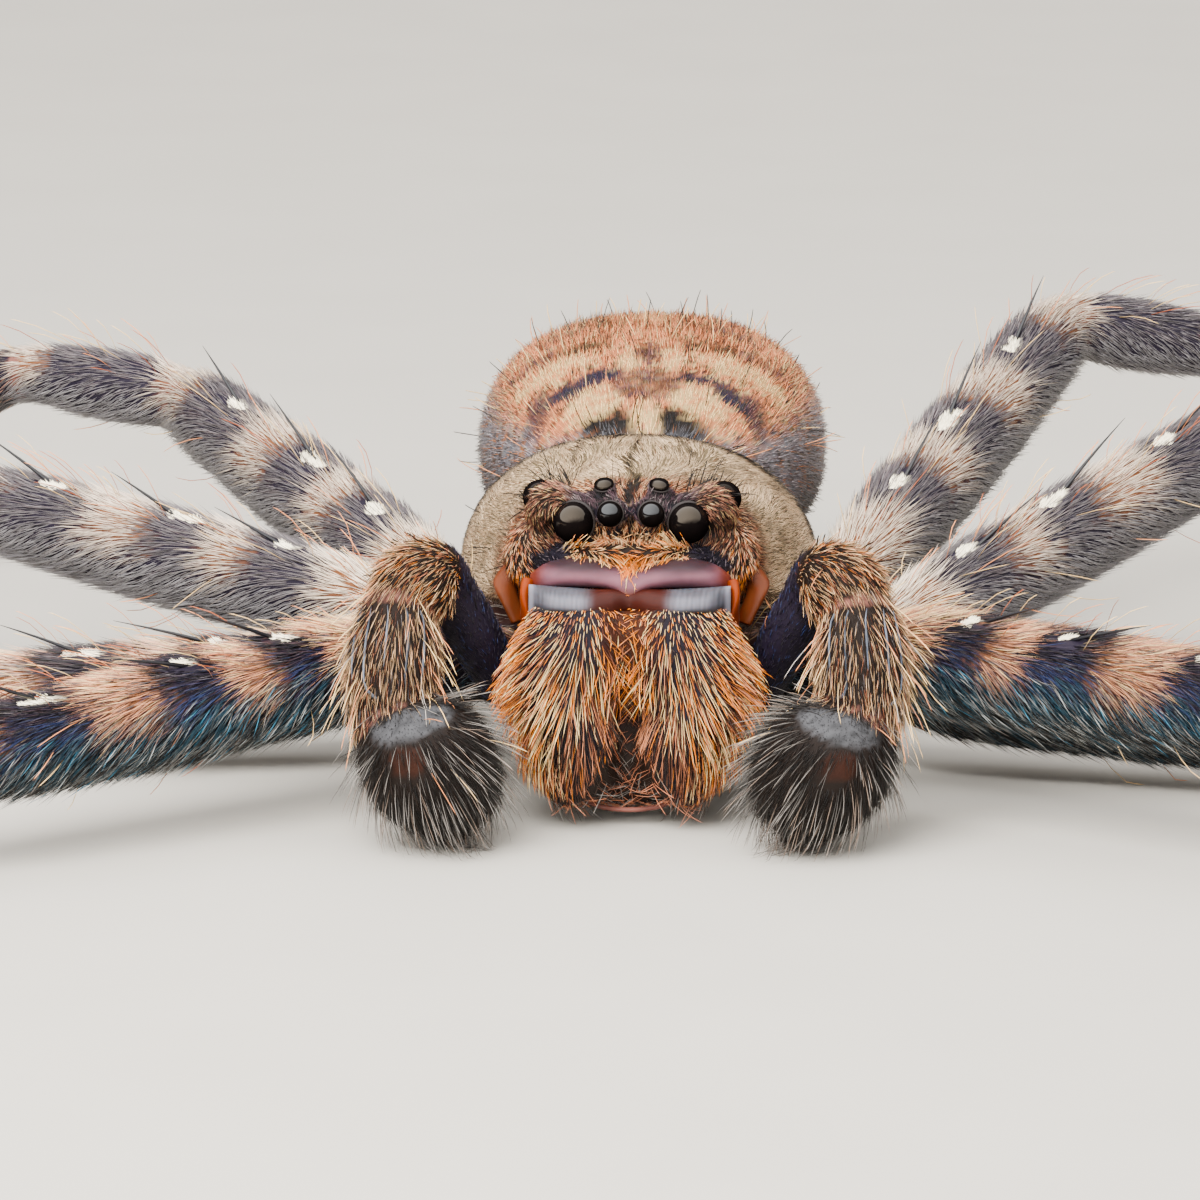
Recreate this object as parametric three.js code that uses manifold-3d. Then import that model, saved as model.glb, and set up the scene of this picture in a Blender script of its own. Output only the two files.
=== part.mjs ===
// A life-size huntsman spider at rest, legs spread flat, in millimetres with +Z up.
// The spider faces -Y and its left legs are on -X. Each solid is the outline of one body
// part out to the tips of its hairs, and the eight feet end in small flats on the plane z = 0.

import * as THREE from "three";
import { mergeVertices } from "three/addons/utils/BufferGeometryUtils.js";
import Module from "manifold-3d";

const wasm = await Module();
wasm.setup();

// Driving sizes
const JOINT_GAP = 0.3; // left between neighbouring parts
const EYE_GAP = 0.12; // left round an eye in its socket
const LEG_SIDES = 12;
const BODY_SIDES = 24;
const EYE_SIDES = 10;

const CARAPACE_FRONT = -7.8;
const CARAPACE_BACK = 5.9;
const CARAPACE_HALF_WIDTH = 6.05;
const CARAPACE_TOP = 10.15;
const CARAPACE_MARGIN = 5.0; // height of the widest edge above the floor
const CARAPACE_BELLY = 0.25; // how far the underside bulges below the margin

const ABDOMEN_FRONT = 6.3;
const ABDOMEN_LENGTH = 15.8;
const ABDOMEN_HALF_WIDTH = 5.9;
const ABDOMEN_RISE = 4.5;
const ABDOMEN_DROP = 4.0;
const ABDOMEN_AXIS = 6.4;

const STERNUM_LENGTH = 6.6;
const STERNUM_MIDDLE = 0.1;
const STERNUM_HALF_WIDTH = 2.1;
const STERNUM_AXIS = 3.2;
const STERNUM_HALF_HEIGHT = 1.2;

const MOUTH_HEIGHT = 2.85; // of the labium's and maxillae's middle
const MOUTH_HALF_HEIGHT = 0.95;

const CHELICERA_TOP = 6.6;
const CHELICERA_FOOT = 0.5;
const CHELICERA_HALF_WIDTH = 1.86;
const CHELICERA_HALF_DEPTH = 1.6;

const COXA_HEIGHT = 3.1; // of the inner end of each leg
const COXA_LENGTH = 5.0;
const ANKLE_HEIGHT = 1.75; // where tibia meets metatarsus
const TOE_HEIGHT = 0.5; // of the tarsus's centreline over the floor

// Half thickness of each leg article, hairs included
const COXA_RADIUS = 1.22;
const FEMUR_RADIUS = 1.78;
const KNEE_RADIUS = 1.42;
const TIBIA_RADIUS = 1.3;
const ANKLE_RADIUS = 0.88;
const TOE_RADIUS = 0.72;
const FOOT_SHARES = [0, 0.22, 0.45, 0.68, 0.82, 0.95, 1]; // closer rings where the sole is flat

// Lengths of femur, patella, tibia, metatarsus and tarsus of the four pairs
const ARTICLES = [
  [15.6, 6.6, 14.2, 13.6, 4.0],
  [17.0, 6.9, 15.6, 14.6, 4.1],
  [14.8, 6.0, 12.2, 11.2, 3.6],
  [16.0, 5.7, 13.2, 13.6, 3.8],
];

// One row for each leg. hip is the inner end of the coxa. Headings are degrees from straight
// out sideways, positive towards the front, for coxa, femur, patella, tibia, metatarsus and
// tarsus. rise is the slope of coxa, femur and patella in degrees.
const LEGS = [
  { pair: 1, side: "left", hip: [2.3, -3.7], heading: [30, 36, 26, 34, 46, 50], rise: [14, -4.3, -2] },
  { pair: 2, side: "left", hip: [2.5, -1.35], heading: [9, 10, 2, 8, 20, 28], rise: [-5, -2.5, 0] },
  { pair: 3, side: "left", hip: [2.5, 1.2], heading: [-14, -13, -4, -12, -24, -30], rise: [2, 12, -4] },
  { pair: 4, side: "left", hip: [2.2, 3.7], heading: [-38, -53, -14, -24, -42, -48], rise: [-3, 14.5, 6] },
  { pair: 1, side: "right", hip: [2.3, -3.7], heading: [30, 34, 24, 36, 48, 52], rise: [16, 1, -4] },
  { pair: 2, side: "right", hip: [2.5, -1.35], heading: [9, 14, 6, 12, 24, 32], rise: [-5, -2.5, 0] },
  { pair: 3, side: "right", hip: [2.5, 1.2], heading: [-16, -30, -12, -18, -28, -34], rise: [-6, 22, -10] },
  { pair: 4, side: "right", hip: [2.3, 3.7], heading: [-40, -61, -6, -20, -46, -52], rise: [2, 22.5, -10] },
];

// Palp joints on the right side, from the base of the femur to the tip of the tarsus
const PALP = {
  base: [3.7, -7.0, 3.3],
  knee: [5.6, -8.9, 7.5],
  elbow: [6.7, -10.3, 6.95],
  wrist: [6.9, -11.7, 3.75],
  tip: [4.35, -13.1, 1.1],
};

// Middle of each eye on the right side, its radius and the name of the pair
const EYES = [
  { name: "front_middle", at: [0.61, -7.95, 8.98], radius: 0.38 },
  { name: "front_side", at: [1.7, -7.6, 8.65], radius: 0.6 },
  { name: "back_middle", at: [0.82, -6.95, 9.66], radius: 0.3 },
  { name: "back_side", at: [2.68, -6.68, 9.17], radius: 0.5 },
];

const UP = new THREE.Vector3(0, 0, 1);
const group = new THREE.Group();

function finish(color, roughness) {
  return new THREE.MeshStandardMaterial({ color, roughness, metalness: 0 });
}

const GREY_BROWN = finish(0x6b5a45, 0.9);
const ORANGE = finish(0xb8764a, 0.85);
const PINK_BROWN = finish(0x9a765e, 0.9);
const DARK_VIOLET = finish(0x4a4250, 0.85);
const DARK_GREY = finish(0x4b4642, 0.9);
const BELLY_BROWN = finish(0x5a4433, 0.85);
const BLACK_HORN = finish(0x140d0a, 0.3);
const EYE_BLACK = finish(0x050506, 0.08);

function add(name, geometry, material) {
  const mesh = new THREE.Mesh(geometry, material);
  mesh.name = name;
  group.add(mesh);
}

// A closed skin over rings of points. Each station has its middle, the direction of the loft,
// the half width, and the height of its upper and lower halves. square bulges the section
// from an ellipse (1) towards a box (0).
function loft(stations, sides) {
  const positions = [];
  for (const s of stations) {
    const along = s.along.clone().normalize();
    const up = UP.clone().addScaledVector(along, -UP.dot(along));
    if (up.lengthSq() < 1e-6) up.set(0, -1, 0);
    up.normalize();
    const across = new THREE.Vector3().crossVectors(up, along);
    const bulge = s.square ?? 1;
    for (let j = 0; j < sides; j++) {
      const angle = (2 * Math.PI * j) / sides;
      const c = Math.cos(angle);
      const q = Math.sin(angle);
      const high = q > 0 ? s.rise : s.drop;
      const point = s.middle
        .clone()
        .addScaledVector(across, s.half * Math.sign(c) * Math.abs(c) ** bulge)
        .addScaledVector(up, high * Math.sign(q) * Math.abs(q) ** bulge);
      positions.push(point.x, point.y, point.z);
    }
  }
  const last = stations.length - 1;
  const caps = [stations[0], stations[last]].map((s) => s.middle);
  for (const c of caps) positions.push(c.x, c.y, c.z);
  const startMiddle = stations.length * sides;
  const faces = [];
  for (let j = 0; j < sides; j++) {
    const k = (j + 1) % sides;
    for (let i = 0; i < last; i++) {
      const a = i * sides;
      const b = a + sides;
      faces.push(a + j, a + k, b + k, a + j, b + k, b + j);
    }
    faces.push(startMiddle, k, j);
    faces.push(startMiddle + 1, last * sides + j, last * sides + k);
  }
  const geometry = new THREE.BufferGeometry();
  geometry.setAttribute("position", new THREE.Float32BufferAttribute(positions, 3));
  geometry.setIndex(faces);
  return geometry;
}

function solid(geometry) {
  const bare = geometry.clone();
  bare.deleteAttribute("normal");
  bare.deleteAttribute("uv");
  const merged = mergeVertices(bare, 1e-4);
  const triVerts = new Uint32Array(merged.index.array);
  const vertProperties = merged.attributes.position.array;
  return new wasm.Manifold(new wasm.Mesh({ numProp: 3, vertProperties, triVerts }));
}

function geometryOf(manifold) {
  const mesh = manifold.getMesh();
  const geometry = new THREE.BufferGeometry();
  const positions = new THREE.Float32BufferAttribute(mesh.vertProperties, 3);
  geometry.setAttribute("position", positions);
  geometry.setIndex([...mesh.triVerts]);
  return geometry;
}

function ball(radius, at, sides) {
  const sphere = new THREE.SphereGeometry(radius, sides, Math.round((sides * 2) / 3));
  return sphere.translate(...at);
}

// A smooth value between control points given as [place, value]
function profile(points) {
  const curve = new THREE.CatmullRomCurve3(
    points.map(([x, y]) => new THREE.Vector3(x, y, 0)),
    false,
    "centripetal",
  );
  const samples = curve.getPoints(120);
  return (x) => {
    let i = 1;
    while (i < samples.length - 1 && samples[i].x < x) i++;
    const [a, b] = [samples[i - 1], samples[i]];
    const share = Math.min(1, Math.max(0, (x - a.x) / (b.x - a.x || 1)));
    return a.y + (b.y - a.y) * share;
  };
}

// Carapace: widest behind the middle, with a narrower raised head that carries the eyes
const carapaceHalf = profile([
  [0, 3.15],
  [0.12, 3.9],
  [0.3, 5.0],
  [0.62, CARAPACE_HALF_WIDTH],
  [0.85, 5.1],
  [1, 2.3],
]);
const carapaceTop = profile([
  [0, 9.3],
  [0.1, 9.85],
  [0.35, CARAPACE_TOP],
  [0.55, 9.85],
  [0.8, 8.2],
  [1, 5.9],
]);
const carapaceMargin = profile([
  [0, 6.85],
  [0.12, 6.3],
  [0.28, CARAPACE_MARGIN + 0.15],
  [0.5, CARAPACE_MARGIN],
  [1, CARAPACE_MARGIN],
]);

function carapaceSolid() {
  const steps = [0, 0.04, 0.1, 0.18, 0.28, 0.4, 0.52, 0.64, 0.75, 0.85, 0.93, 1];
  const stations = steps.map((t) => {
    const y = CARAPACE_FRONT + t * (CARAPACE_BACK - CARAPACE_FRONT);
    const margin = carapaceMargin(t);
    return {
      middle: new THREE.Vector3(0, y, margin),
      along: new THREE.Vector3(0, 1, 0),
      half: carapaceHalf(t),
      rise: carapaceTop(t) - margin,
      drop: CARAPACE_BELLY,
      square: t < 0.3 ? 0.75 : 0.85,
    };
  });
  return solid(loft(stations, BODY_SIDES));
}

function eyePlaces() {
  return EYES.flatMap((eye) =>
    [-1, 1].map((sign) => ({
      name: `eye_${eye.name}_${sign < 0 ? "left" : "right"}`,
      at: [sign * eye.at[0], eye.at[1], eye.at[2]],
      radius: eye.radius,
    })),
  );
}

function addProsoma() {
  let carapace = carapaceSolid();
  for (const eye of eyePlaces()) {
    carapace = carapace.subtract(solid(ball(eye.radius + EYE_GAP, eye.at, EYE_SIDES)));
    add(eye.name, ball(eye.radius, eye.at, EYE_SIDES), EYE_BLACK);
  }
  add("carapace", geometryOf(carapace), GREY_BROWN);

  const sternum = [-1, -0.8, -0.4, 0, 0.4, 0.8, 1].map((t) => {
    const width = Math.sqrt(1 - 0.86 * t * t);
    return {
      middle: new THREE.Vector3(0, STERNUM_MIDDLE + (t * STERNUM_LENGTH) / 2, STERNUM_AXIS),
      along: new THREE.Vector3(0, 1, 0),
      half: STERNUM_HALF_WIDTH * width,
      rise: STERNUM_HALF_HEIGHT * width,
      drop: STERNUM_HALF_HEIGHT * width,
      square: 0.8,
    };
  });
  add("sternum", loft(sternum, 16), BELLY_BROWN);
}

// Labium and the two maxillae beside it, behind the jaws
function addMouthparts() {
  const lobe = (x, halfWidth, front, back) => {
    const stations = [0, 0.3, 0.7, 1].map((t) => {
      const size = 0.62 + 0.38 * Math.sin(Math.PI * Math.min(1, t + 0.2));
      return {
        middle: new THREE.Vector3(x, front + t * (back - front), MOUTH_HEIGHT),
        along: new THREE.Vector3(0, 1, 0),
        half: halfWidth * size,
        rise: MOUTH_HALF_HEIGHT * size,
        drop: MOUTH_HALF_HEIGHT * size,
      };
    });
    return loft(stations, 10);
  };
  add("labium", lobe(0, 0.75, -5.4, -3.75), BELLY_BROWN);
  add("maxilla_left", lobe(-1.3, 0.8, -7.0, -5.55), BELLY_BROWN);
  add("maxilla_right", lobe(1.3, 0.8, -7.0, -5.55), BELLY_BROWN);
}

function addChelicerae() {
  for (const sign of [-1, 1]) {
    const side = sign < 0 ? "left" : "right";
    const stations = [0, 0.12, 0.3, 0.5, 0.7, 0.86, 1].map((t) => {
      const bulge = Math.sin(Math.PI * (0.2 + 0.7 * t));
      const half = CHELICERA_HALF_WIDTH * (0.45 + 0.55 * bulge);
      const height = CHELICERA_TOP + t * (CHELICERA_FOOT - CHELICERA_TOP);
      const forward = -8.55 - 1.1 * Math.sin(Math.PI * (0.1 + 0.62 * t));
      return {
        middle: new THREE.Vector3(sign * (half + 0.16), forward, height),
        along: new THREE.Vector3(0, 0, -1),
        half,
        rise: CHELICERA_HALF_DEPTH * (0.5 + 0.5 * bulge),
        drop: CHELICERA_HALF_DEPTH * (0.45 + 0.35 * bulge),
        square: 0.88,
      };
    });
    add(`chelicera_${side}`, loft(stations, 16), ORANGE);

    // The fang lies folded behind the jaw's lower end, its point towards the middle
    const path = new THREE.QuadraticBezierCurve3(
      new THREE.Vector3(sign * 2.1, -7.75, 1.5),
      new THREE.Vector3(sign * 1.9, -7.3, 0.9),
      new THREE.Vector3(sign * 0.55, -7.35, 1.2),
    );
    const fang = [0, 0.35, 0.7, 1].map((t) => {
      const radius = 0.42 - 0.16 * t;
      return {
        middle: path.getPoint(t),
        along: path.getTangent(t),
        half: radius,
        rise: radius,
        drop: radius,
      };
    });
    add(`fang_${side}`, loft(fang, 8), BLACK_HORN);
  }
}

function evenShares(count) {
  return Array.from({ length: count }, (_, i) => i / (count - 1));
}

// Stations along a curve between two arc lengths, at the given shares of the way, with a
// radius that is a function of the share
function tube(curve, from, to, radius, shares) {
  const length = curve.getLength();
  return shares.map((share) => {
    const at = THREE.MathUtils.clamp((from + share * (to - from)) / length, 0, 1);
    const r = radius(share);
    return {
      middle: curve.getPointAt(at),
      along: curve.getTangentAt(at),
      half: r,
      rise: r,
      drop: r,
    };
  });
}

// A smooth line through joints, straight between them and rounded at each
function jointedCurve(joints, turn) {
  const points = [joints[0]];
  for (let i = 1; i < joints.length; i++) {
    const step = joints[i].clone().sub(joints[i - 1]);
    const near = Math.min(turn / step.length(), 0.4);
    points.push(joints[i - 1].clone().addScaledVector(step, near));
    points.push(joints[i - 1].clone().addScaledVector(step, 1 - near));
  }
  points.push(joints[joints.length - 1]);
  const curve = new THREE.CatmullRomCurve3(points, false, "centripetal");
  curve.arcLengthDivisions = 600;
  return curve;
}

// Arc length on the curve nearest to a point
function lengthAt(curve, point) {
  const length = curve.getLength();
  let best = 0;
  let least = Infinity;
  for (let i = 0; i <= 800; i++) {
    const distance = curve.getPointAt(i / 800).distanceTo(point);
    if (distance < least) {
      least = distance;
      best = (i / 800) * length;
    }
  }
  return best;
}

function legJoints(leg) {
  const sign = leg.side === "left" ? -1 : 1;
  const [femur, patella, tibia, metatarsus, tarsus] = ARTICLES[leg.pair - 1];
  const joints = [new THREE.Vector3(sign * leg.hip[0], leg.hip[1], COXA_HEIGHT)];
  const step = (length, heading, drop) => {
    const h = THREE.MathUtils.degToRad(heading);
    const flat = Math.sqrt(length * length - drop * drop);
    const move = new THREE.Vector3(sign * Math.cos(h) * flat, -Math.sin(h) * flat, drop);
    joints.push(joints[joints.length - 1].clone().add(move));
  };
  const slope = (degrees) => Math.sin(THREE.MathUtils.degToRad(degrees));
  const height = () => joints[joints.length - 1].z;
  step(COXA_LENGTH, leg.heading[0], COXA_LENGTH * slope(leg.rise[0]));
  step(femur, leg.heading[1], femur * slope(leg.rise[1]));
  step(patella, leg.heading[2], patella * slope(leg.rise[2]));
  step(tibia, leg.heading[3], ANKLE_HEIGHT - height());
  step(metatarsus, leg.heading[4], TOE_HEIGHT + 0.05 - height());
  step(tarsus, leg.heading[5], TOE_HEIGHT - height());
  return joints;
}

const femurShape = profile([
  [0, 0.74],
  [0.14, 0.93],
  [0.4, 1],
  [0.75, 0.93],
  [1, 0.8],
]);

function addLeg(leg) {
  const joints = legJoints(leg);
  const curve = jointedCurve(joints, 1.6);
  const at = joints.map((joint) => lengthAt(curve, joint));
  const name = `leg_${leg.pair}_${leg.side}`;
  const half = JOINT_GAP / 2;
  const between = (a, b, t) => a + (b - a) * t;

  const coxa = (t) => between(COXA_RADIUS, COXA_RADIUS * 1.12, Math.sin((Math.PI * t) / 2));
  add(`${name}_coxa`, loft(tube(curve, 0, at[1] - half, coxa, evenShares(4)), LEG_SIDES), BELLY_BROWN);

  const femur = (t) => FEMUR_RADIUS * femurShape(t);
  const thigh = tube(curve, at[1] + half, at[2] - half, femur, evenShares(7));
  add(`${name}_femur`, loft(thigh, LEG_SIDES), DARK_VIOLET);

  const shinLength = at[4] - at[2];
  const knee = (at[3] - at[2]) / shinLength;
  const shinShape = profile([
    [0, KNEE_RADIUS * 0.94],
    [knee * 0.5, KNEE_RADIUS],
    [knee, KNEE_RADIUS * 0.88],
    [between(knee, 1, 0.3), TIBIA_RADIUS],
    [1, TIBIA_RADIUS * 0.78],
  ]);
  const shin = tube(curve, at[2] + half, at[4] - half, shinShape, evenShares(8));
  add(`${name}_tibia`, loft(shin, LEG_SIDES), PINK_BROWN);

  const ankle = (at[5] - at[4]) / (at[6] - at[4]);
  const footShape = profile([
    [0, ANKLE_RADIUS],
    [ankle * 0.5, between(ANKLE_RADIUS, TOE_RADIUS, 0.6)],
    [ankle, TOE_RADIUS],
    [between(ankle, 1, 0.6), TOE_RADIUS * 1.02],
    [1, TOE_RADIUS * 0.6],
  ]);
  const foot = loft(tube(curve, at[4] + half, at[6], footShape, FOOT_SHARES), LEG_SIDES);
  // The sole is pressed flat on the floor
  const spots = foot.getAttribute("position");
  for (let i = 0; i < spots.count; i++) spots.setZ(i, Math.max(0, spots.getZ(i)));
  add(`${name}_foot`, foot, DARK_GREY);
}

function addPalp(sign) {
  const side = sign < 0 ? "left" : "right";
  const place = ([x, y, z]) => new THREE.Vector3(sign * x, y, z);
  const joints = [PALP.base, PALP.knee, PALP.elbow, PALP.wrist, PALP.tip].map(place);
  const curve = jointedCurve(joints, 0.9);
  const at = joints.map((joint) => lengthAt(curve, joint));
  const half = JOINT_GAP / 2;
  const femur = (t) => 0.82 + 0.25 * Math.sin(Math.PI * t);
  add(`palp_${side}_femur`, loft(tube(curve, 0, at[1] - half, femur, evenShares(5)), 10), DARK_VIOLET);
  const shinShape = profile([
    [0, 1.15],
    [0.25, 1.5],
    [0.5, 1.42],
    [0.8, 1.62],
    [1, 1.55],
  ]);
  const shin = tube(curve, at[1] + half, at[3] - half, shinShape, evenShares(8));
  add(`palp_${side}_tibia`, loft(shin, 12), ORANGE);
  const tarsus = (t) => 1.15 + 0.95 * Math.sin(Math.PI * (0.12 + 0.6 * t)) - 0.75 * t ** 4;
  const tip = loft(tube(curve, at[3] + half, at[4], tarsus, evenShares(7)), 12);
  const spots = tip.getAttribute("position");
  for (let i = 0; i < spots.count; i++) spots.setZ(i, Math.max(0.05, spots.getZ(i)));
  add(`palp_${side}_tarsus`, tip, DARK_GREY);
}

function addAbdomen() {
  const girth = profile([
    [0, 0.16],
    [0.05, 0.5],
    [0.2, 0.82],
    [0.5, 1],
    [0.75, 0.9],
    [0.93, 0.5],
    [1, 0.2],
  ]);
  const steps = [0, 0.05, 0.12, 0.22, 0.36, 0.5, 0.64, 0.77, 0.87, 0.94, 1];
  const stations = steps.map((t) => ({
    middle: new THREE.Vector3(0, ABDOMEN_FRONT + t * ABDOMEN_LENGTH, ABDOMEN_AXIS - 0.5 * t * t),
    along: new THREE.Vector3(0, 1, 0),
    half: ABDOMEN_HALF_WIDTH * girth(t),
    rise: ABDOMEN_RISE * girth(t),
    drop: ABDOMEN_DROP * girth(t),
    square: 0.86,
  }));
  add("abdomen", loft(stations, BODY_SIDES), PINK_BROWN);

  let cluster = null;
  for (const sign of [-1, 1]) {
    const cone = [0, 0.5, 1].map((t) => ({
      middle: new THREE.Vector3(
        sign * (0.45 + 0.1 * t),
        ABDOMEN_FRONT + ABDOMEN_LENGTH + JOINT_GAP + 1.7 * t,
        ABDOMEN_AXIS - 0.75 - 0.15 * t,
      ),
      along: new THREE.Vector3(0, 1, 0),
      half: 0.55 - 0.2 * t * t,
      rise: 0.55 - 0.2 * t * t,
      drop: 0.55 - 0.2 * t * t,
    }));
    const made = solid(loft(cone, 8));
    cluster = cluster ? cluster.add(made) : made;
  }
  add("spinnerets", geometryOf(cluster), BELLY_BROWN);
}

addProsoma();
addMouthparts();
addChelicerae();
addPalp(-1);
addPalp(1);
for (const leg of LEGS) addLeg(leg);
addAbdomen();

// The origin is the middle of the model's box on the floor
const bounds = new THREE.Box3().setFromObject(group);
const middle = bounds.getCenter(new THREE.Vector3());
group.position.set(-middle.x, -middle.y, -bounds.min.z);

export default group;
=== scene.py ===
import math
from collections import namedtuple

import bpy
import numpy as np
from bpy.props import FloatProperty, FloatVectorProperty, PointerProperty
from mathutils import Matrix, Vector
from mathutils.bvhtree import BVHTree
from mathutils.kdtree import KDTree


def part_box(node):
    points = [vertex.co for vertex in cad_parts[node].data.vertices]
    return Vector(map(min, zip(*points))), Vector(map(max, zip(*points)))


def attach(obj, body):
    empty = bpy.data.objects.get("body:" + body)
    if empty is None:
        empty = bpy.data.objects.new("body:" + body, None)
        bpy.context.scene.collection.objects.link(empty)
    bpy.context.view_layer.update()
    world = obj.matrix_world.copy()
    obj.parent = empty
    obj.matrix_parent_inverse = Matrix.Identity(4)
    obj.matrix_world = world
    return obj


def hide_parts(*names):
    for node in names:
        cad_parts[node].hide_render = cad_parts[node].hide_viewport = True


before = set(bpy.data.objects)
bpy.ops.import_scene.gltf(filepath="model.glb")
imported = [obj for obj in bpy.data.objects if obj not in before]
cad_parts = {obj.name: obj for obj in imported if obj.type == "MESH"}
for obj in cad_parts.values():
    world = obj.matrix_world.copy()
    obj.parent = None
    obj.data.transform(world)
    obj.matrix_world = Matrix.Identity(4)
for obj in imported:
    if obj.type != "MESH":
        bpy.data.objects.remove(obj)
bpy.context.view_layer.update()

bl_info = {
    "name": "Huntsman spider",
    "version": (1, 0, 0),
    "blender": (4, 5, 0),
    "location": "3D View > Sidebar > Spider",
    "description": "Builds the skin, eyes, jaws and coat of a life-size huntsman spider",
    "category": "Object",
}

# Everything below is worked out in millimetres and turned to metres when a mesh is made.
# The spider faces -Y and its left legs are on -X.
MM = 0.001
UP = np.array([0.0, 0.0, 1.0])

# The skeleton repeats the sizes of the solids
COXA_LENGTH = 5.0
COXA_HEIGHT = 3.1
ANKLE_HEIGHT = 1.75
TOE_HEIGHT = 0.5
CORNER = 1.3  # how far a bend at a joint is rounded

# Lengths of femur, patella, tibia, metatarsus and tarsus of the four pairs
ARTICLES = (
    (15.6, 6.6, 14.2, 13.6, 4.0),
    (17.0, 6.9, 15.6, 14.6, 4.1),
    (14.8, 6.0, 12.2, 11.2, 3.6),
    (16.0, 5.7, 13.2, 13.6, 3.8),
)

# Pair, side, inner end of the coxa, headings in degrees from straight out sideways (positive
# towards the front) for coxa to tarsus, and slopes of coxa, femur and patella in degrees
LEGS = (
    (1, "left", (2.3, -3.7), (30, 36, 26, 34, 46, 50), (14, -4.3, -2)),
    (2, "left", (2.5, -1.35), (9, 10, 2, 8, 20, 28), (-5, -2.5, 0)),
    (3, "left", (2.5, 1.2), (-14, -13, -4, -12, -24, -30), (2, 12, -4)),
    (4, "left", (2.2, 3.7), (-38, -53, -14, -24, -42, -48), (-3, 14.5, 6)),
    (1, "right", (2.3, -3.7), (30, 34, 24, 36, 48, 52), (16, 1, -4)),
    (2, "right", (2.5, -1.35), (9, 14, 6, 12, 24, 32), (-5, -2.5, 0)),
    (3, "right", (2.5, 1.2), (-16, -30, -12, -18, -28, -34), (-6, 22, -10)),
    (4, "right", (2.3, 3.7), (-40, -61, -6, -20, -46, -52), (2, 22.5, -10)),
)

# Palp joints on the right side, from inside the body to the tip of the tarsus
PALP = (
    (2.6, -6.2, 3.4),
    (3.7, -7.0, 3.3),
    (5.6, -8.9, 7.5),
    (6.7, -10.3, 6.95),
    (6.9, -11.7, 3.75),
    (4.35, -13.1, 1.1),
)
SIDES = ((-1, "left"), (1, "right"))  # sign of X and name of each side

# Eye pairs: middle on the right side, radius, and the way each looks
EYES = {
    "front_middle": ((0.61, -7.95, 8.98), 0.38, (0.12, -1.0, 0.1)),
    "front_side": ((1.7, -7.6, 8.65), 0.6, (0.35, -1.0, 0.0)),
    "back_middle": ((0.82, -6.95, 9.66), 0.3, (0.12, -0.32, 1.0)),
    "back_side": ((2.71, -6.68, 9.2), 0.52, (1.0, 0.1, 0.45)),
}

# Where the camera of the photograph stood: it looks at TARGET
TARGET = (-0.9, -8.0, 6.4)
AZIMUTH = 2.0
ELEVATION = 13.0
DISTANCE = 230.0
PIXELS_PER_MM = 34.0
IMAGE_WIDTH = 1200
SENSOR = 36.0


def linear(code):
    """An sRGB hex colour as an array of linear red, green and blue."""
    parts = [int(code[i : i + 2], 16) / 255 for i in (1, 3, 5)]
    return np.array([c / 12.92 if c <= 0.04045 else ((c + 0.055) / 1.055) ** 2.4 for c in parts])


def colour_property(name, description, code):
    """One dye of the palette, from an sRGB hex colour."""
    dye = tuple(linear(code))
    return FloatVectorProperty(
        name=name, description=description, default=dye, size=3, min=0, max=1, subtype="COLOR"
    )


class SpiderColours(bpy.types.PropertyGroup):
    """The dyes of skin and coat"""

    cream: colour_property("Cream", "Pale hair between the dark bands", "#f4cb8c")
    peach: colour_property("Peach", "Pink-tan hair of bands and abdomen", "#dd8e5c")
    orange: colour_property("Orange", "Hair of jaws and cheeks", "#f4860c")
    rust: colour_property("Rust", "Darker orange-brown hair", "#8a4524")
    violet: colour_property("Violet", "Dark bands of the legs", "#2b2336")
    black: colour_property("Black", "Bristles, spines and the line down the carapace", "#0e0b0a")
    brown: colour_property("Brown", "Bare skin and dark hair", "#35241b")
    teal: colour_property("Teal", "Blue-green sheen on the front of the front legs", "#26596e")
    blue: colour_property("Blue", "Blue sheen above the teal", "#344a86")
    silver: colour_property("Silver", "Pale grey bristles", "#a59d96")
    grey: colour_property("Grey", "Dark grey hair of palps and feet", "#3d3836")
    olive: colour_property("Olive", "Khaki hair of the carapace", "#a08a66")
    membrane: colour_property("Membrane", "Soft skin at the joints", "#a2695a")
    plum: colour_property("Plum", "Bare skin over the jaws and hair between the eyes", "#6a4c56")
    white: colour_property("White", "Scales at the feet of the big leg spines", "#fff4d8")


class SpiderSizes(bpy.types.PropertyGroup):
    """The sizes of the coat"""

    voxel: FloatProperty(
        name="Skin grain",
        description="Cell of the grid that joins the skin, in millimetres",
        default=0.257,
        min=0.15,
        max=1,
    )
    hair: FloatProperty(
        name="Hair thickness",
        description="Thickness of a hair of the leg coat, in millimetres",
        default=0.048,
    )
    density: FloatProperty(
        name="Density",
        description="Share of the full number of hairs",
        default=1.0,
        min=0.05,
    )


def dye(name):
    """A colour of the palette."""
    return np.array(getattr(bpy.context.scene.spider_colours, name))


def sizes():
    """The sizes of the coat as the panel has them."""
    return bpy.context.scene.spider_sizes


def frame_shift():
    """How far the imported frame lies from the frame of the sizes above, in millimetres."""
    low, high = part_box("eye_front_side_left")
    place, _, _ = EYES["front_side"]
    middle = np.array(low + high) / 2 / MM
    return middle - np.array([-place[0], place[1], place[2]])


SHIFT = frame_shift() * np.array([1.0, 1.0, 0.0])


def unit(v):
    """Vectors made one long."""
    return v / np.maximum(np.linalg.norm(v, axis=-1, keepdims=True), 1e-9)


def ramp(low, high, x):
    """0 at low and beyond it, 1 at high and beyond it, and a soft slope between."""
    t = np.clip((x - low) / (high - low), 0, 1)
    return t * t * (3 - 2 * t)


def mix(a, b, share):
    """Colours or directions between a and b, by one share or one for each row."""
    share = np.asarray(share)[..., None]
    return a * (1 - share) + np.asarray(b) * share


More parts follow.
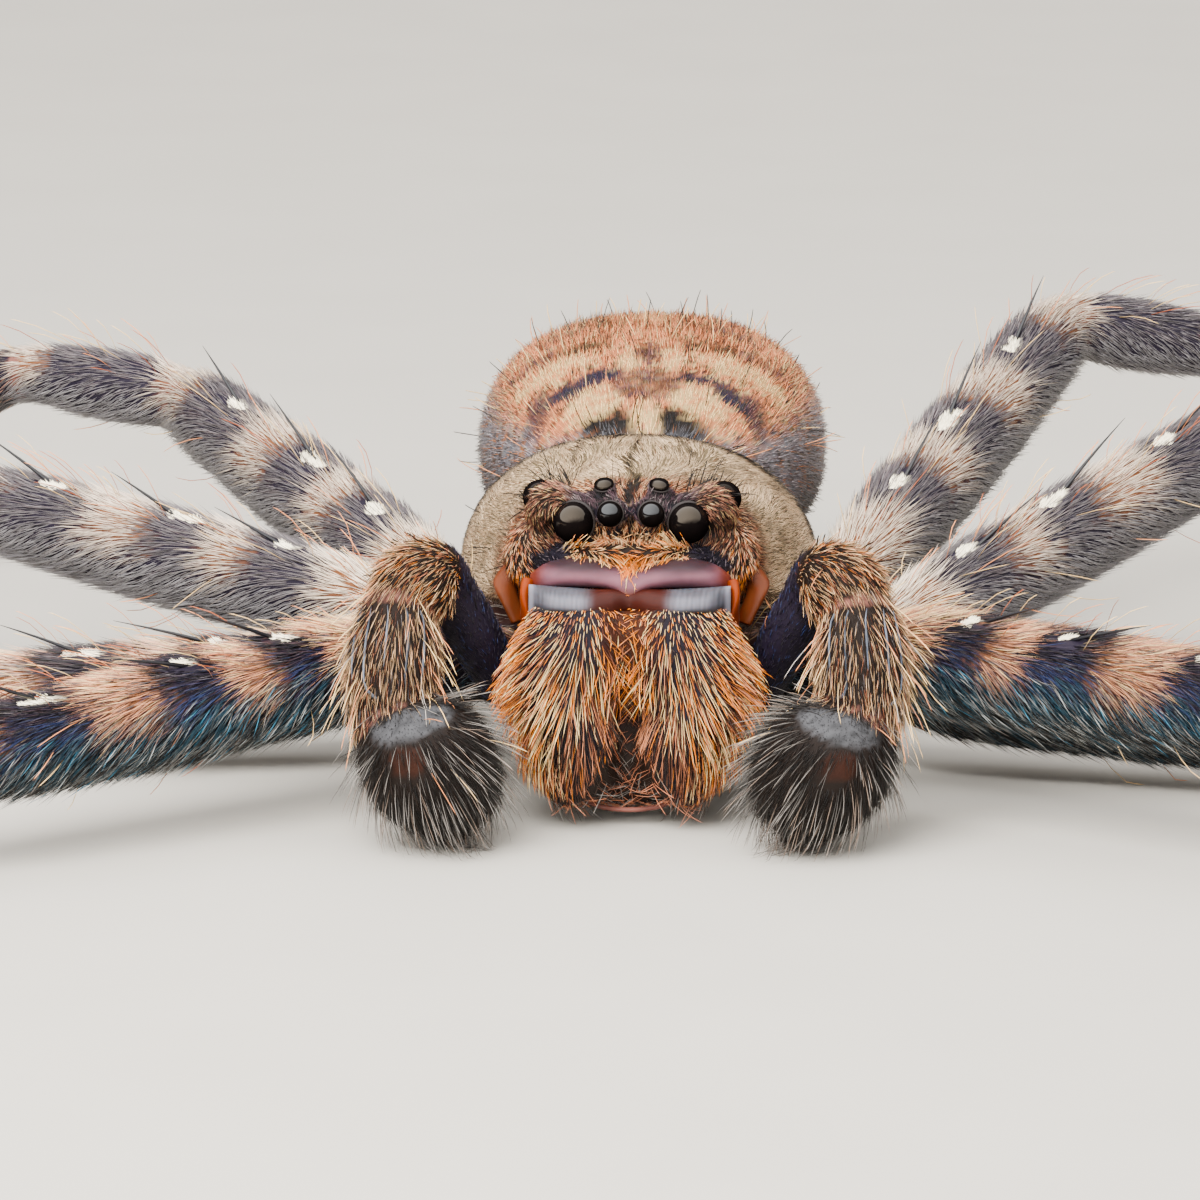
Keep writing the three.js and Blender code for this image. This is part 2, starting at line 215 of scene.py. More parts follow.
def mirrored(points, sign):
    """Points given for the right side, on the side of sign."""
    return np.array(points) * [sign, 1, 1]


def curve(*points):
    """A smooth function through (place, value) pairs."""
    x, y = np.array(points, float).T
    slope = np.gradient(y, x)

    def value(t):
        t = np.clip(t, x[0], x[-1])
        i = np.clip(np.searchsorted(x, t) - 1, 0, len(x) - 2)
        h = x[i + 1] - x[i]
        q = (t - x[i]) / h
        rise = y[i] * (1 + 2 * q) * (1 - q) ** 2 + y[i + 1] * q * q * (3 - 2 * q)
        return rise + h * q * (1 - q) * (slope[i] * (1 - q) - slope[i + 1] * q)

    return value


NOISE_WAVES = 6
NOISE_FULL = 3.2  # sum of the waves that counts as 1


def noise(points, size, seed):
    """Smooth blotches from -1 to 1 over points, about size millimetres across."""
    rng = np.random.default_rng(seed)
    total = np.zeros(len(points))
    for _ in range(NOISE_WAVES):
        wave = rng.normal(size=3) / size
        total += np.sin(points @ wave * 2.2 + rng.uniform(0, 6.28))
    return np.clip(total / NOISE_FULL, -1, 1)


# Paths


def leg_joints(leg):
    """The seven joints of a leg, from the inner end of the coxa to the toe."""
    pair, side, hip, heading, rise = leg
    sign = -1 if side == "left" else 1
    joints = [np.array([sign * hip[0], hip[1], COXA_HEIGHT])]
    lengths = (COXA_LENGTH,) + ARTICLES[pair - 1]
    ends = (None, None, None, ANKLE_HEIGHT, TOE_HEIGHT + 0.05, TOE_HEIGHT)
    for i, (length, way, end) in enumerate(zip(lengths, heading, ends)):
        lift = length * math.sin(math.radians(rise[i])) if end is None else end - joints[-1][2]
        flat = math.sqrt(length * length - lift * lift)
        turn = math.radians(way)
        joints.append(joints[-1] + [sign * math.cos(turn) * flat, -math.sin(turn) * flat, lift])
    return np.array(joints)


def rounded_path(joints, step=0.32, reach=CORNER):
    """Points every step along the joints with rounded corners, their arc lengths, and the joints' own."""
    runs = np.linalg.norm(np.diff(joints, axis=0), axis=1)
    knots = np.concatenate([[0], np.cumsum(runs)])
    s = np.linspace(0, knots[-1], int(knots[-1] / step))
    line = np.stack([np.interp(s, knots, joints[:, k]) for k in range(3)], axis=1)
    half = max(1, int(reach / step))
    window = np.hanning(2 * half + 3)[1:-1]
    window /= window.sum()
    before = 2 * line[0] - line[half:0:-1]
    after = 2 * line[-1] - line[-2 : -half - 2 : -1]
    padded = np.concatenate([before, line, after])
    soft = np.stack([np.convolve(padded[:, k], window, "valid") for k in range(3)], axis=1)
    return s, soft, knots


# Skin

STEEP = 0.95  # slope of a loft's start above which its rings are turned by the front instead of by the top
KINDS = ("points", "region", "along", "share", "angle", "lie")


class Lofts:
    """Closed rings of points that together make the skin, with what the coat needs at each point."""

    def __init__(self):
        self.points, self.faces, self.region = [], [], []
        self.along, self.share, self.angle, self.lie = [], [], [], []
        self.names = []
        self.count = 0

    def add(self, name, middle, half, rise, drop, along=None, sides=24, square=1.0, lie=1.0):
        """A loft of rings round the points of middle.

        half, rise and drop are a ring's half width and its heights above and below middle. A square below
        1 makes it boxy. along is each ring's place on the body part, its arc length if not given. The hair
        lies along middle where lie is 1 and against it where lie is -1.
        """
        middle = np.asarray(middle, float)
        n = len(middle)
        tangent = unit(np.gradient(middle, axis=0))
        guide = UP if abs(tangent[0] @ UP) < STEEP else np.array([0, -1.0, 0])
        up = unit(guide - tangent * (tangent @ guide)[:, None])
        across = np.cross(up, tangent)
        angle = np.linspace(0, 2 * np.pi, sides, endpoint=False)
        power = np.broadcast_to(square, (n,))[:, None]
        c, q = (np.sign(v) * np.abs(v) ** power for v in (np.cos(angle), np.sin(angle)))
        half, rise, drop = (np.broadcast_to(v, (n,))[:, None] for v in (half, rise, drop))
        high = np.where(q > 0, rise, drop)
        ring = middle[:, None] + across[:, None] * (half * c)[..., None]
        ring = ring + up[:, None] * (high * q)[..., None]
        s = np.concatenate([[0], np.cumsum(np.linalg.norm(np.diff(middle, axis=0), axis=1))])
        place = s if along is None else along
        base = self.count
        grid = base + np.arange(n * sides).reshape(n, sides)
        nxt = np.roll(grid, -1, axis=1)
        quads = np.stack([grid[:-1], nxt[:-1], nxt[1:], grid[1:]], axis=-1).reshape(-1, 4)
        first, last = base + n * sides, base + n * sides + 1
        self.faces += quads.tolist()
        self.faces += [[first, b, a] for a, b in zip(grid[0], nxt[0])]
        self.faces += [[last, a, b] for a, b in zip(grid[-1], nxt[-1])]
        self.points.append(np.concatenate([ring.reshape(-1, 3), middle[[0, -1]]]))
        if name not in self.names:
            self.names.append(name)
        total = n * sides + 2
        self.region.append(np.full(total, self.names.index(name)))

        def spread(values):
            """One value for each ring, given to its points and to the two ends."""
            body = np.repeat(values, sides, axis=0)
            return np.concatenate([body, values[[0, -1]]])

        self.along.append(spread(np.asarray(place, float)))
        self.share.append(spread(s / s[-1]))
        self.angle.append(np.concatenate([np.tile(angle, n), [0, 0]]))
        self.lie.append(spread(tangent * lie))
        self.count += total

    def gathered(self):
        """One array of all rings for each kind of data."""
        return {kind: np.concatenate(getattr(self, kind)) for kind in KINDS}


def body_line(front, back, height, count):
    """Points from front to back along Y, at heights given by a function of the share of the way."""
    t = np.linspace(0, 1, count)
    return t, np.stack([np.zeros(count), front + t * (back - front), height(t)], axis=1)


CARAPACE = (-7.62, 5.7)  # front and back ends along Y
ABDOMEN = (6.5, 21.8)
JAW_LENGTH = 5.6


def skin_carapace(lofts):
    """The shield of head and chest, between its margin and its top line."""
    margin = curve((0, 6.9), (0.12, 6.4), (0.3, 5.6), (0.5, 5.25), (0.7, 5.15), (1, 5.15))
    front = ((0, 2.7), (0.03, 3.05), (0.12, 3.65), (0.3, 4.6))
    half = curve(*front, (0.62, 5.4), (0.85, 4.7), (1, 1.8))
    front = ((0, 8.6), (0.03, 9.15), (0.1, 9.5), (0.2, 9.8), (0.35, 10.0))
    top = curve(*front, (0.55, 9.65), (0.8, 7.95), (1, 5.6))
    t, line = body_line(*CARAPACE, margin, 60)
    square = 0.72 + 0.13 * ramp(0.15, 0.5, t)
    lofts.add("carapace", line, half(t), top(t) - margin(t), 0.5, t, sides=72, square=square, lie=-1.0)


def skin_belly(lofts):
    """Sternum, lip and maxillae, and a core that joins the legs to the shield."""
    t, line = body_line(-3.1, 3.3, lambda t: np.full_like(t, 3.3), 14)
    width = np.sqrt(1 - 0.86 * (2 * t - 1) ** 2)
    lofts.add("belly", line, 1.9 * width, 1.6 * width, 1.0 * width, sides=24, square=0.8)
    for x, size, front, back in ((0, 0.6, -5.3, -3.0), (-1.3, 0.66, -6.9, -4.6), (1.3, 0.66, -6.9, -4.6)):
        t, line = body_line(front, back, lambda t: np.full_like(t, 2.95), 8)
        line[:, 0] = x
        bulge = size * (0.6 + 0.4 * np.sin(np.pi * np.minimum(1, t + 0.2)))
        lofts.add("belly", line, bulge, bulge * 1.15, bulge * 1.15, sides=14)
    t, line = body_line(-6.6, 4.9, lambda t: 4.3 + 0.2 * t, 24)
    core = curve((0, 1.2), (0.15, 2.4), (0.6, 3.4), (1, 1.2))
    lofts.add("belly", line, core(t), 1.1, 1.1, sides=24)


def skin_jaws(lofts):
    """The two jaws, a bridge between their tops, and the dark field between their tips."""
    t = np.linspace(0, 1, 36)
    bulge = np.sin(np.pi * (0.2 + 0.7 * t))
    dome = np.sqrt(1 - (1 - np.clip(t / 0.13, 0.03, 1)) ** 2)
    wide = 1.86 * (0.45 + 0.55 * bulge)
    half = (wide - 0.22) * (0.35 + 0.65 * dome)
    y = -8.55 - 1.1 * np.sin(np.pi * (0.1 + 0.62 * t)) + 0.25 * (1 - dome)
    depth = (1.6 * (0.5 + 0.5 * bulge) - 0.34) * (0.15 + 0.85 * dome)
    bridge = ((1.5, -9.5, 5.7), (1.0, -9.45, 5.7), (0.5, -9.35, 5.7), (0.0, -9.3, 5.7))
    field = ((1.6, -8.95, 1.8), (1.1, -9.05, 1.8), (0.5, -9.1, 1.8), (0.0, -9.1, 1.8))
    near_top = np.full(4, 0.15)
    for sign, side in SIDES:
        name = f"jaw_{side}"
        line = np.stack([sign * (wide - 0.1), y, 6.78 - t * JAW_LENGTH], axis=1)
        lofts.add(name, line, half, depth, 1.3, along=t, sides=36, square=0.88)
        lofts.add(name, mirrored(bridge, sign), 0.78, 0.74, 2.7, along=near_top, sides=20)
        lofts.add(name, mirrored(field, sign), 0.72, 1.15, 1.25, along=near_top, sides=20)
    root = np.array([[0, -5.8, 6.9], [0, -7.2, 6.8], [0, -8.1, 6.3]])
    lofts.add("belly", root, 2.3, 0.7, 0.9, sides=20)


def palp_path(sign):
    """Points along a palp, their arc lengths and those of its joints."""
    return rounded_path(mirrored(PALP, sign), step=0.22, reach=0.7)


def palp_radius(k):
    """Radius of a palp's skin by arc length, for joints at the arc lengths k."""
    return curve(
        (0, 0.7), (k[1], 0.66), ((k[1] + k[2]) / 2, 0.8), (k[2] - 0.3, 0.85), (k[2] + 0.5, 1.12),
        (k[3] - 0.5, 1.14), (k[3], 0.96), (k[3] + 0.8, 1.2), (k[4] - 0.6, 1.26), (k[4], 1.16),
        (k[4] + 0.9, 1.7), (k[4] + 2.0, 1.86), (k[5] - 0.7, 1.42), (k[5], 0.85),
    )


def skin_palps(lofts):
    """The two palps, each one tube."""
    for sign, side in SIDES:
        s, line, knots = palp_path(sign)
        r = palp_radius(knots)(s)
        lofts.add(f"palp_{side}", line, r, r, r, along=s, sides=28)


def leg_radius(k):
    """Radius of a leg's skin by arc length, for joints at the arc lengths k."""

    def at(i, share):
        return k[i] + share * (k[i + 1] - k[i])

    return curve(
        (0, 0.95), (at(0, 0.7), 1.08), (k[1], 0.98), (at(1, 0.12), 1.34), (at(1, 0.4), 1.48),
        (at(1, 0.75), 1.38), (at(1, 0.95), 1.16), (k[2], 0.98), (at(2, 0.2), 1.08),
        (at(2, 0.6), 1.1), (k[3], 0.86), (at(3, 0.15), 0.98), (at(3, 0.5), 0.96),
        (at(3, 0.95), 0.72), (k[4], 0.6), (at(4, 0.1), 0.66), (at(4, 0.9), 0.5), (k[5], 0.46),
        (at(5, 0.5), 0.5), (k[6], 0.3),
    )


def skin_legs(lofts):
    """The eight legs, each one tube."""
    for leg in LEGS:
        s, line, knots = rounded_path(leg_joints(leg))
        r = leg_radius(knots)(s)
        lofts.add(f"leg_{leg[0]}_{leg[1]}", line, r, r, r, along=s, sides=22)


def skin_abdomen(lofts):
    """The abdomen, its stalk and four of the spinnerets."""
    rising = ((0, 0.2), (0.04, 0.5), (0.12, 0.72), (0.2, 0.84), (0.35, 0.96))
    girth = curve(*rising, (0.5, 1), (0.75, 0.9), (0.93, 0.5), (1, 0.2))
    t, line = body_line(*ABDOMEN, lambda t: 6.35 - 0.5 * t * t, 60)
    g = girth(t)
    lofts.add("abdomen", line, 5.45 * g, 4.1 * g, 3.6 * g, along=t, sides=64, square=0.86)
    t, line = body_line(4.6, 7.6, lambda t: 5.1 + 0.7 * t, 8)
    lofts.add("abdomen", line, 0.95, 0.9, 0.8, along=t * 0.05, sides=18)
    for x, out, rear, size in ((0.42, 0.16, 23.6, 0.4), (0.8, 0.35, 22.9, 0.3)):
        for sign, _ in SIDES:
            t, line = body_line(21.0, rear, lambda t: 5.45 - 0.15 * t, 8)
            line[:, 0] = sign * (x + out * t)
            r = size * (1 - 0.35 * t * t)
            lofts.add("spinnerets", line, r, r, r, sides=12)


def skin_head(lofts):
    """Low mounds that carry the eyes, the knobs and cheeks beside them, and the lip over the jaws."""

    def add(line, size, sides, half=None):
        at_front = np.full(len(line), 0.02)
        lofts.add("carapace", line, size if half is None else half, size, size, at_front, sides, lie=-1.0)

    for name, (place, radius, way) in EYES.items():
        for sign, _ in SIDES:
            look = unit(mirrored(way, sign))
            rim = 0.0 if name == "back_middle" else -0.3
            steps = np.array([-1.9, -1.4, -1.0, -0.7, rim - 0.15, rim])
            line = mirrored(place, sign) + look * (steps * radius)[:, None]
            add(line, radius * np.array([0.9, 1.16, 1.2, 1.16, 1.08, 0.95]), 20)
    knob = ((2.2, -6.1, 9.0), (2.36, -6.6, 9.02), (2.46, -7.0, 8.98), (2.46, -7.3, 8.86), (2.42, -7.5, 8.7))
    cheek = ((2.9, -6.6, 8.2), (3.1, -6.95, 7.7), (3.15, -7.2, 7.2), (3.1, -7.4, 6.75))
    for sign, _ in SIDES:
        add(mirrored(knob, sign), np.array([0.4, 0.6, 0.68, 0.6, 0.36]), 20)
        add(mirrored(cheek, sign), np.array([0.5, 0.62, 0.5, 0.24]), 18)
    x = np.linspace(-2.3, 2.3, 24)
    lip = np.stack([x, -7.95 + 0.07 * x * x, 7.72 - 0.05 * np.abs(x)], axis=1)
    size = 0.42 * np.sqrt(1.02 - (x / 2.32) ** 2)
    add(lip, size, 18, half=size + 0.1)


def vertex_data(mesh, kind):
    """A row for each point of a mesh, its place or its normal: kind is co or normal."""
    values = np.empty(len(mesh.vertices) * 3)
    mesh.vertices.foreach_get(kind, values)
    return values.reshape(-1, 3)


class Surface:
    """The joined skin's points and triangles, with the data of the nearest loft at each point."""

    def __init__(self, obj, lofts):
        self.trees = []
        mesh = obj.data
        data = lofts.gathered()
        tree = KDTree(len(data["points"]))
        for i, p in enumerate(data["points"]):
            tree.insert(p, i)
        tree.balance()
        self.points = vertex_data(mesh, "co")
        self.normals = vertex_data(mesh, "normal")
        nearest = np.array([tree.find(p)[1] for p in self.points])
        self.region, self.along, self.share, self.angle, self.lie = (data[k][nearest] for k in KINDS[1:])
        self.names = lofts.names
        mesh.calc_loop_triangles()
        corners = np.empty(len(mesh.loop_triangles) * 3, np.int32)
        mesh.loop_triangles.foreach_get("vertices", corners)
        self.triangles = corners.reshape(-1, 3)
        a, b, c = (self.points[self.triangles[:, k]] for k in range(3))
        self.area = np.linalg.norm(np.cross(b - a, c - a), axis=1) / 2

    def where(self, name):
        """Which skin points lie in one region."""
        return self.region == self.names.index(name)

    def cleared(self, points, gap, band=False):
        """The points, with those nearer than gap to the skin, or to the bare band, moved out of it."""
        if not self.trees:
            self.trees.append(BVHTree.FromPolygons(self.points.tolist(), self.triangles.tolist()))
            piece = bpy.data.objects["jaw_band"].data
            band_points = vertex_data(piece, "co") / MM - SHIFT
            band_faces = [list(f.vertices) for f in piece.polygons]
            self.trees.append(BVHTree.FromPolygons(band_points.tolist(), band_faces))
        for tree in self.trees[: 2 if band else 1]:
            nearest = [tree.find_nearest(p)[:2] for p in points]
            place = np.array([tuple(n[0]) for n in nearest])
            out = np.array([tuple(n[1]) for n in nearest])
            height = ((points - place) * out).sum(axis=1)
            points = points + out * np.maximum(0, gap - height)[:, None]
        return points

    def spots(self, name):
        """The skin's points of one region, as the dress functions take them."""
        keep = self.where(name)
        return Spots(self.points[keep], self.normals[keep], self.along[keep], self.angle[keep], name)

    def sample(self, name, density, rng):
        """Random roots on one region, at density hairs on each square millimetre at each skin point."""
        full = np.zeros(len(self.points))
        full[self.where(name)] = density * sizes().density
        chosen = np.flatnonzero(self.where(name)[self.triangles[:, 0]])
        expected = self.area[chosen] * full[self.triangles[chosen, 0]]
        counts = np.floor(expected + rng.random(len(chosen))).astype(int)
        tri = self.triangles[np.repeat(chosen, counts)]
        u, v = rng.random((2, len(tri)))
        flip = u + v > 1
        u, v = np.where(flip, 1 - u, u), np.where(flip, 1 - v, v)
        w = np.stack([1 - u - v, u, v], axis=1)

        def blend(values):
            """Values of the skin points at the roots."""
            return (values[tri] * (w[..., None] if values.ndim > 1 else w)).sum(axis=1)

        normals = unit(blend(self.normals))
        spots = Spots(blend(self.points), normals, blend(self.along), self.angle[tri[:, 0]], name)
        spots.lie = unit(blend(self.lie))
        spots.share = blend(self.share)
        return spots


class Spots:
    """Places on the skin of one region."""

    def __init__(self, points, normals, along, angle, name):
        self.points, self.normals, self.along, self.angle, self.name = points, normals, along, angle, name

    def __len__(self):
        return len(self.points)


class Coat:
    """What grows at each of some spots. Every value is an array with one entry per spot."""

    def __init__(self, spots, skin, ground, tip, density, length, width, lift):
        n = len(spots)
        # ground is each hair's colour at its root; where it is darker than the tip it is painted shade deep
        # in the coat
        self.skin, self.ground, self.tip = (np.broadcast_to(v, (n, 3)) for v in (skin, ground, tip))
        numbers = (np.broadcast_to(v, (n,)) for v in (density, length, width, lift))
        self.density, self.length, self.width, self.lift = numbers
        self.sway = 0.06
        self.over_band = False


def picker(rng, n):
    """A function that picks a random colour for each of n hairs."""

    def pick(*choices):
        """One of the (colour or name of a dye, weight, tint if any) choices for each hair."""
        weights = np.stack([np.broadcast_to(c[1], (n,)) for c in choices], axis=1).astype(float)
        edges = np.cumsum(weights / weights.sum(axis=1, keepdims=True), axis=1)
        which = np.minimum((rng.random(n)[:, None] > edges).sum(axis=1), len(choices) - 1)
        colours = [dye(c[0]) if isinstance(c[0], str) else c[0] for c in choices]
        colours = [colour * c[2] if len(c) > 2 else colour for colour, c in zip(colours, choices)]
        return np.array(colours)[which]

    return pick


# Coats of the regions. Each function says what grows where, for skin and hair alike.

FRONT_SPOTS = ((0.285, 90), (0.506, 76), (0.815, 84))
REAR_SPOTS = ((0.265, 80), (0.49, 80), (0.78, 84))
LEG_SPOTS = {1: FRONT_SPOTS, 2: ((0.295, 90), (0.54, 78), (0.84, 84)), 3: REAR_SPOTS, 4: REAR_SPOTS}
PALE_BANDS = {
    1: ((0.0, 0.21), (0.335, 0.42), (0.585, 0.72), (0.93, 1.05)),
    2: ((0.0, 0.21), (0.35, 0.44), (0.62, 0.74), (0.93, 1.05)),
    3: ((0.0, 0.17), (0.33, 0.42), (0.56, 0.69), (0.9, 1.05)),
    4: ((0.0, 0.17), (0.33, 0.42), (0.57, 0.69), (0.9, 1.05)),
}
OUTER_BANDS = {  # pale shares of patella, tibia, metatarsus and tarsus
    2: ((0.0, 0.12), (0.8, 1.0)),
    3: ((0.16, 0.42), (0.56, 0.78)),
    4: ((0.12, 0.38), (0.55, 0.75)),
    5: ((-1, -1),),
}


def leg_parts(spots):
    """Pair, article number, share of the article and turn from the front over the top, for leg spots."""
    pair, side = int(spots.name[4]), spots.name[6:]
    leg = next(one for one in LEGS if one[0] == pair and one[1] == side)
    _, _, knots = rounded_path(leg_joints(leg))
    article = np.clip(np.searchsorted(knots, spots.along, side="right") - 1, 0, 5)
    share = (spots.along - knots[article]) / (knots[article + 1] - knots[article])
    front = np.cos(spots.angle) * (1 if side == "left" else -1)
    turn = np.degrees(np.arctan2(np.sin(spots.angle), front))
    return pair, article, share, turn, knots


def banded(share, bands, soft=0.018):
    """How far each share lies inside one of the bands, whose edges are soft."""
    total = np.zeros(len(share))
    for low, high in bands:
        inside = ramp(low - soft, low + soft, share) * (1 - ramp(high - soft, high + soft, share))
        total = np.maximum(total, inside)
    return total


# By pair of legs: how much the colours are washed out, how bright the dark hair is, how strong the blue
# and green sheen, and how dense the hair
WASH = {1: 0.0, 2: 0.06, 3: 0.2, 4: 0.2}
DARK_HAIR = {1: 0.55, 2: 0.62, 3: 0.75, 4: 0.9}
SHEEN = {1: 1.0, 2: 0.55, 3: 0.15, 4: 0.15}
LEG_DENSITY = {1: 1.2, 2: 0.94, 3: 0.8, 4: 0.8}
# By article from coxa to tarsus: length, hairs on a square millimetre, share of the width, and lift
LEG_HAIR = (
    [0.8, 1.15, 1.0, 0.9, 0.65, 0.5],
    [26, 74, 66, 50, 44, 44],
    [1, 1, 1, 0.95, 0.85, 0.8],
    [14, 13, 13, 12, 13, 20],
)


def dress_leg(spots, rng):
    """Pale and dark bands, silver and blue-green hair below, soft skin at the joints."""
    pair, article, share, turn, knots = leg_parts(spots)
    n = len(spots)
    pick = picker(rng, n)
    wobble = 0.018 * noise(spots.points, 0.9, 5) + 0.012 * rng.normal(size=n)
    pale = np.where(article == 1, banded(share + wobble, PALE_BANDS[pair]), 0)
    for number, bands in OUTER_BANDS.items():
        pale = np.where(article == number, banded(share + wobble, bands), pale)
    pale = np.where(article == 0, 0.3, pale)
    edge = 7 * rng.normal(size=n)
    lower = 1 - ramp(0, 34, turn + edge)
    rear = ramp(150, 175, turn + edge)
    pale = pale * (1 - lower) * (1 - rear)
    cream_share = ramp(0.4, 0.0, share) * (article == 1) * 0.7 + 0.3
    rear_leg = float(pair >= 3)
    pale_hair = pick(
        ("cream", cream_share + 0.5 * rear_leg, 1.05),
        ("peach", 1 - 0.6 * cream_share - 0.25 * rear_leg, 1.05),
        ("rust", 0.1 + 0.2 * (pair == 1) - 0.1 * rear_leg),
        ("violet", 0.14 + 0.16 * (pair == 1) - 0.08 * rear_leg, 0.7),
    )
    dark_hair = pick(
        ("violet", 0.75), ("black", 0.6 - 0.45 * rear_leg), ("plum", 0.22, 0.6), ("grey", 0.15),
        ("silver", 0.12 + 0.3 * rear_leg, [0.6, 0.56, 0.66]),
    )
    front = (pair <= 2) * (article <= 2) * (turn > -95)
    silvery = pick(
        ("silver", 0.4, [0.7, 0.85, 0.95]), ("grey", 0.5), ("teal", 0.4, 0.8), ("black", 1.0),
        ("silver", 0.2, [1.3, 1.45, 1.5]),
    )
    dull = pick(
        ("grey", 0.6), ("silver", 0.5 + 0.5 * rear_leg, [0.66, 0.66, 0.72]), ("black", 0.3),
        ("violet", 0.3),
    )
    wash = WASH[pair]
    dark_hair = mix(dark_hair * DARK_HAIR[pair], [0.55, 0.5, 0.5], wash)
    pale_hair = mix(pale_hair, [1.0, 0.88, 0.76], 0.1 + 3.2 * wash)
    dull = mix(dull, [0.5, 0.48, 0.5], 2.4 * wash)
    hair = mix(dark_hair, np.where(front[:, None], silvery * 0.72, dull), lower)
    glint = rng.random(n)
    blue_zone = ramp(48, 36, turn + edge) * ramp(12, 26, turn + edge)
    teal_zone = ramp(28, 16, turn + edge) * ramp(-30, -10, turn + edge)
    hair = mix(hair, dye("blue") * 0.8, blue_zone * (glint < 0.5 * SHEEN[pair]) * front * 0.55)
    hair = mix(hair, dye("teal") * 0.9, teal_zone * (glint > 1 - 0.5 * SHEEN[pair]) * front * 0.6)
    hair = mix(hair, pale_hair, pale)
    outer = (article >= 3) * (1 - pale)
    hair = mix(hair, pick(("brown", 1), ("grey", 0.7), ("peach", 0.35)), outer * 0.6)
    sock = (article >= 4) * ramp(-20, -70, turn)
    hair = mix(hair, dye("black"), sock * 0.7)
    skin = mix(dye("violet") * 0.3, dye("peach") * 0.15, pale)
    to_joint = np.min(np.abs(spots.along[:, None] - knots[None, 2:4]), axis=1)
    soft = ramp(0.34, 0.16, to_joint) * 0.6
    skin = mix(skin, dye("membrane") * 0.5, soft)
    length, density, width, lift = (np.choose(article, row) for row in LEG_HAIR)
    length = length * (1 - 0.2 * rear_leg) * rng.uniform(0.6, 1.2, n)
    density = density * (1 + 0.35 * (turn > -60) * (turn < 140)) * LEG_DENSITY[pair]
    density = density * (1 - 0.97 * white_patches(spots, pair, share, turn, article, 1.25, 0.5))
    width = sizes().hair * width * (0.86 if pair == 1 else 1)
    skin = mix(skin, dye("white") * 0.7, white_patches(spots, pair, share, turn, article))
    # roots at 0.3 of the tip colour: painted shade deep in the coat
    return Coat(spots, skin, hair * 0.3, hair, density, length, width, lift)


def white_patches(spots, pair, share, turn, article, grow=1.0, before=0.0):
    """Whether each spot lies in a pale oval at the foot of a big spine.

    The ovals are grow times as big, and before millimetres longer on the side towards the body.
    """
    total = np.zeros(len(spots))
    length = ARTICLES[pair - 1][0]
    for f, side in LEG_SPOTS[pair]:
        run = (share - f) * length
        run = run + np.minimum(before, np.maximum(0, -run))
        round_way = np.radians(turn - side) * 1.45
        inside = (run / (0.4 * grow)) ** 2 + (round_way / (0.24 * grow)) ** 2
        total = np.maximum(total, (inside < 1) * (article == 1))
    return total


def eye_gaps(points):
    """Distance of each point to the nearest eye, and the way away from it."""
    best, away = np.full(len(points), 99.0), np.zeros((len(points), 3))
    for place, radius, _ in EYES.values():
        for sign, _ in SIDES:
            apart = points - mirrored(place, sign)
            gap = np.linalg.norm(apart, axis=1) - radius
            nearer = gap < best
            best = np.where(nearer, gap, best)
            away = np.where(nearer[:, None], unit(apart), away)
    return best, away


def head_zones(points):
    """Shares of the head's zones at each point by name, and the distance to the nearest eye."""
    x, y, z = points.T
    side = np.abs(x)
    gap, _ = eye_gaps(points)
    front = ramp(-7.0, -7.3, y)
    brow = ramp(7.97, 8.05, z) * ramp(8.45, 8.25, z)
    between = ramp(0.75, 0.35, gap) * ramp(2.1, 1.5, side)
    patch = np.hypot((side - 2.3) / 0.75, (z - 7.72 + 0.3 * (side - 2.3)) / 0.36)
    knob = np.linalg.norm(np.stack([side - 2.42, y * 0, z - 9.0], axis=1), axis=1)
    zones = {
        "lash": brow * ramp(2.05, 1.3, side) * front,
        "lip": ramp(8.05, 7.97, z) * ramp(2.15, 1.5, side + 0.6 * (7.9 - z)) * front,
        "tuft": ramp(8.02, 7.9, z) * ramp(1.15, 0.85, side) * front,
        "patch": ramp(1.15, 0.9, patch) * ramp(-6.5, -6.8, y),
        "cheek": ramp(2.5, 2.8, side) * ramp(-5.8, -6.5, y) * ramp(8.2, 7.8, z),
        "plum": between * ramp(8.3, 8.5, z) * ramp(9.8, 9.5, z),
        "knob": ramp(0.95, 0.7, knob) * ramp(-5.8, -6.3, y),
    }
    zones["hem"] = zones["lip"] * ramp(8.02, 7.92, z) * ramp(0.6, 0.9, side)
    return zones, gap


